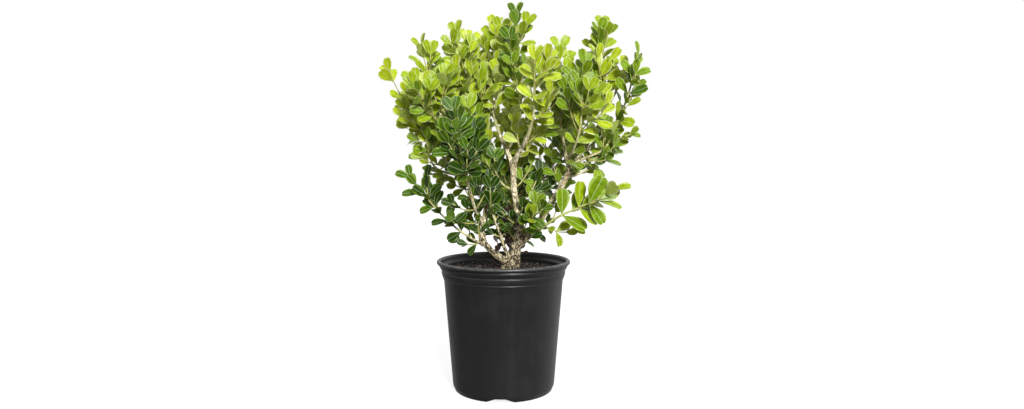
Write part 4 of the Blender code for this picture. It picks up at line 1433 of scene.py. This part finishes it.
def leaves_on(mass, path, key, space, neighbours, size):
    """The leaves of the opposite pairs along a shoot, from its tip down."""
    turning = random.Random(f"{mass} {key} turn")
    turn = turning.uniform(-TURN_VARIES, TURN_VARIES)
    lean = scattered(turning, SHOOT_FACE_VARIES)
    found = []
    for node, (point, tangent) in enumerate(nodes_of(path, BARE_SHARE)):
        spread, share, odds = (
            steps[min(node, len(steps) - 1)] for steps in (LEAF_SPREAD, LEAF_SHARE, LEAF_ODDS)
        )
        chance = random.Random(f"{mass} {key} leaves {node}")
        finer = random.Random(f"{mass} {key} finer {node}")
        aside = (point.x - LEAF_AXIS.x) * LEAF_ASIDE
        outward = Vector((aside, point.y - LEAF_AXIS.y, 0)).normalized()
        facing = tangent * LEAF_FACE[0] + UP * LEAF_FACE[1] + outward * LEAF_FACE[2]
        if finer.random() > odds:
            continue
        for side in pair_sides(tangent, node, turn):
            full_angle = math.radians(spread + chance.uniform(-ANGLE_VARIES, ANGLE_VARIES))
            full_size = LEAF_LENGTH * size * share * chance.uniform(*LEAF_VARIES)
            tilt = side * chance.uniform(-LEAF_TURN, LEAF_TURN)
            slim = LEAF_WIDTH * finer.uniform(*LEAF_SLIM) / 2
            cup = finer.uniform(*LEAF_CUP)
            bend = finer.uniform(*LEAF_BEND)
            face = facing + tilt + lean + scattered(finer, LEAF_FACE_VARIES)
            if finer.random() > LEAF_KEPT:
                continue
            for angle_share, size_share in LEAF_TRIES:
                angle = full_angle * angle_share
                along = (tangent * math.cos(angle) + side * math.sin(angle)).normalized()
                across = face.cross(along).normalized()
                length = full_size * size_share
                up = along.cross(across)
                leaf = Leaf(point, along, across, up, length, length * slim, cup, bend)
                outline = leaf_outline(leaf)
                around = outline[1:] + [outline[0].lerp(outline[2], 0.5)]
                if space.allows(mass, around) and neighbours.takes(outline, STALK_CLEAR):
                    found.append(leaf)
                    break
    return found


# The greens, from the shaded heart of the crown out to its young tips, then that of dead leaves.
# Their lighter and darker greens are partly the leaves' own, partly painted light and painted shade;
# the undersides are painted paler, for painted light coming through the leaf.
Green = namedtuple("Green", "name blade rib under gloss")
GREENS = (
    Green("deep", (0.014, 0.039, 0.0003), (0.46, 0.56, 0.29), (0.07, 0.14, 0.01), 0.16),
    Green("dark", (0.040, 0.100, 0.0006), (0.58, 0.66, 0.35), (0.15, 0.27, 0.025), 0.16),
    Green("mid", (0.128, 0.219, 0.001), (0.60, 0.68, 0.32), (0.30, 0.45, 0.06), 0.2),
    Green("fresh", (0.232, 0.334, 0.002), (0.58, 0.68, 0.24), (0.46, 0.58, 0.13), 0.2),
    Green("bright", (0.345, 0.436, 0.008), (0.68, 0.75, 0.30), (0.63, 0.71, 0.24), 0.2),
    Green("dry", (0.014, 0.008, 0.006), (0.04, 0.024, 0.018), (0.03, 0.018, 0.013), 0.2),
)
GREEN_STEPS = (0.2, 0.4, 0.62, 0.85)
CROWN_LOW = 200 * MM
CROWN_HIGH = 352 * MM
CROWN_WIDE = 150 * MM
HEIGHT_PAINTED_LIGHT = 0.78  # painted light: how much lighter the crown's top is than its foot
# Painted light and shade: greens are lighter out at the crown's edge and darker at its heart.
OUTER_PAINTED_LIGHT = 0.3
CROWN_SHADED_HEART = 0.35  # the painted shade of the crown's heart reaches this far out, as a share of CROWN_WIDE
SPRAY_VARIES = 0.24
TIP_DEPTH = 100 * MM
TIP_DIMS = 0.24  # the highest tips are greener again
# Partly a limb's own green, partly painted light and painted shade where its shoots stand.
LIMB_TINTS_AND_PAINTED_LIGHT = {
    "trunk": 0.2,
    "bough_centre_left": 0.45,
    "bough_centre_right": 0.55,
    "bough_right_inner": 0.15,
    "bough_right_outer": -0.1,
    "branch_outer_right": -0.2,
    "branch_far_right": -0.2,
    "bough_right": -0.1,
    "branch_low_right": 0.5,
}
SPRAY_LEAVES = 8  # of a stem's that have one green


def tone_of(mass, place, chance):
    """Which green a spray has, from the deepest at the crown's heart up to the brightest: painted
    shade and painted light.
    """
    height = max(0, min(1, (place.z - CROWN_LOW) / (CROWN_HIGH - CROWN_LOW)))
    out = (place.xy - TRUNK_FOOT.xy).length / CROWN_WIDE
    over = max(0, place.z - CROWN_HIGH) / TIP_DEPTH
    light = HEIGHT_PAINTED_LIGHT * height - TIP_DIMS * over + OUTER_PAINTED_LIGHT * (out - CROWN_SHADED_HEART)
    light += MASSES[mass].tint if mass in MASSES else LIMB_TINTS_AND_PAINTED_LIGHT.get(mass, 0)
    light += chance.uniform(-SPRAY_VARIES, SPRAY_VARIES)
    return sum(light > step for step in GREEN_STEPS)


def twig_tube(path, thick=TWIG_THICK):
    return path, tapered(thick, TWIG_THIN, len(path))


def grow():
    """Grows every mass: the leaves by green, and the green and dry shoots as (path, radii)."""
    space = Space()
    neighbours = Neighbours()
    leaves = [[] for _ in GREENS]
    twigs = []
    for mass, stem in stems.items():
        size = LARGE_LEAVES.get(mass, 1.0)
        shoots = side_shoots(mass, stem, space)
        finer = [made for key, path in shoots for made in fine_shoots(mass, key, path, space)]
        for key, path in [("stem", stem), *shoots, *finer]:
            chance = random.Random(f"{mass} {key} green")
            spray = leaves_on(mass, path, key, space, neighbours, size)
            if key == "stem":
                for start in range(0, len(spray), SPRAY_LEAVES):
                    part = spray[start : start + SPRAY_LEAVES]
                    leaves[tone_of(mass, part[0].root, chance)] += part
            elif spray:
                leaves[tone_of(mass, path[-1], chance)] += spray
        green = stem[WOODY_STEPS:]
        twigs.append(fine_path(green, tapered(stem_radii(MASSES[mass])[1], STEM_THIN, len(green))))
        twigs += [twig_tube(path) for key, path in shoots]
        twigs += [twig_tube(path, TWIG_THICK * FINE_THICK) for key, path in finer]
    dry = []
    for name, limb in limbs.items():
        for key, path in bough_shoots(name, limb, space):
            chance = random.Random(f"{name} {key} green")
            spray = leaves_on(name, path, key, space, neighbours, BOUGH_LEAVES)
            leaves[tone_of(name, path[-1], chance)] += spray
            twigs.append(twig_tube(path))
    for name, limb in limbs.items():
        for key, path in dry_shoots(name, limb):
            leaves[-1] += leaves_on(name, path, key, space, neighbours, DRY_LEAVES)
            dry.append(twig_tube(path))
    return leaves, twigs, dry


def make_twigs(name, tubes, slot, skin):
    shoots = joined_tubes(name, tubes, TWIG_SIDES)
    shoots.data.shade_smooth()
    return settle(shoots, slot, [skin])


def make_leaves(leaves):
    """One piece for each green, which together stand for all the masses."""
    shape, faces, finishes = leaf_shape()
    masses = list(MASSES)
    for order, (green, sprays) in enumerate(zip(GREENS, leaves)):
        points = [leaf_points(leaf, shape) for leaf in sprays]
        piece = copies(f"leaves_{green.name}", points, faces)
        indexes = np.tile(finishes, len(sprays)).astype(np.int32)
        piece.data.polygons.foreach_set("material_index", indexes)
        for column, name in enumerate(("along", "across")):
            keep_numbers(piece.data, name, np.tile(shape[:, column], len(sprays)))
        piece.data.update()
        piece.data.shade_smooth()
        piece.data.set_sharp_from_angle(angle=math.radians(LEAF_SHARP))
        materials = [
            leaf_blade(f"leaf_{green.name}", green.blade, green.rib, green.gloss),
            leaf_plain(f"leaf_rib_{green.name}", green.rib),
            leaf_plain(f"leaf_under_{green.name}", green.under, 0.6),
        ]
        settle(piece, "foliage", materials, *masses[order :: len(GREENS)])


# ---- camera and studio ----

WHITE = (1, 1, 1, 1)
FLOOR_SIZE = 12
FLOOR_DROP = 0.05 * MM  # below the pot's foot
FLOOR_GLOW = 0.75
FLOOR_GREY = 0.3
SKY_LOW = 0.15  # the light from the horizon and from below it
SKY_HIGH = 1.1
BACK_GLOW = 0.5  # the light of the pale wall behind
BACK_TOWARDS = (0.4, 0.9, 0)
KEY_STRENGTH = 4.7
KEY_SPREAD = 14  # degrees
KEY_TURN = (66, 0, 18)  # degrees about X, Y and Z


def make_camera():
    camera = put_in("camera", bpy.data.cameras.new("camera"))
    camera.data.sensor_width = CAMERA_SENSOR
    camera.data.lens = CAMERA_LENS
    camera.location = CAMERA_PLACE
    camera.rotation_euler = (math.radians(90 - CAMERA_DIP), 0, 0)
    bpy.context.scene.camera = camera


def make_floor():
    """A glowing white floor, which lights and mirrors nothing."""
    start_piece()
    bpy.ops.mesh.primitive_plane_add(size=FLOOR_SIZE, location=(0, 0, -FLOOR_DROP))
    floor = bpy.context.object
    floor.name = "studio_floor"
    pale = Finish("studio_white", (FLOOR_GREY,) * 3, 0.9, Specular_IOR_Level=0.0)
    pale.feed("Emission Color", WHITE)
    pale.feed("Emission Strength", FLOOR_GLOW)
    floor.data.materials.append(pale.material)
    floor.visible_diffuse = False
    floor.visible_glossy = False
    floor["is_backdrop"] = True


def make_sky():
    """Light from above and from the wall behind, before a plain white backdrop."""
    world = bpy.data.worlds.new("studio")
    bpy.context.scene.world = world
    world.use_nodes = True
    sky = Nodes(world.node_tree)
    direction = sky.node("ShaderNodeTexCoord", {}).outputs["Generated"]
    height = sky.node("ShaderNodeSeparateXYZ", {}, [direction]).outputs["Z"]
    values = {"Value": height, "To Min": SKY_LOW, "To Max": SKY_HIGH}
    above = Maths(sky, sky.node("ShaderNodeMapRange", {}, values).outputs[0])
    dot = {"operation": "DOT_PRODUCT"}
    towards = sky.node("ShaderNodeVectorMath", dot, [direction, BACK_TOWARDS]).outputs["Value"]
    values = {"Value": towards, "To Max": BACK_GLOW}
    behind = Maths(sky, sky.node("ShaderNodeMapRange", {}, values).outputs[0])
    light = sky.tree.nodes["Background"]
    sky.join(light.inputs["Color"], WHITE)
    sky.join(light.inputs["Strength"], above + behind)
    backdrop = sky.node("ShaderNodeBackground", {}, {"Color": WHITE})
    seen = sky.node("ShaderNodeLightPath", {}).outputs["Is Camera Ray"]
    either = sky.node("ShaderNodeMixShader", {}, [seen, light.outputs[0], backdrop.outputs[0]])
    sky.join(sky.tree.nodes["World Output"].inputs[0], either.outputs[0])


def make_key_light():
    key = put_in("key_light", bpy.data.lights.new("key_light", "SUN"))
    key.data.energy = KEY_STRENGTH
    key.data.angle = math.radians(KEY_SPREAD)
    key.rotation_euler = [math.radians(turn) for turn in KEY_TURN]


make_pot()
make_soil()
make_bark()
grown_leaves, green_tubes, dry_tubes = grow()
make_twigs("shoots_green", green_tubes, "foliage", twig_skin("green_shoots", *GREEN_SHOOT))
make_twigs("shoots_dry", dry_tubes, "bark", twig_skin("dry_shoots", *DRY_SHOOT))
make_leaves(grown_leaves)
make_camera()
make_floor()
make_sky()
make_key_light()
bpy.context.scene.view_settings.view_transform = "Standard"

for corners in (CAD_BOX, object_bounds()):
    json.dumps([list(corner) for corner in corners]) + "\n"
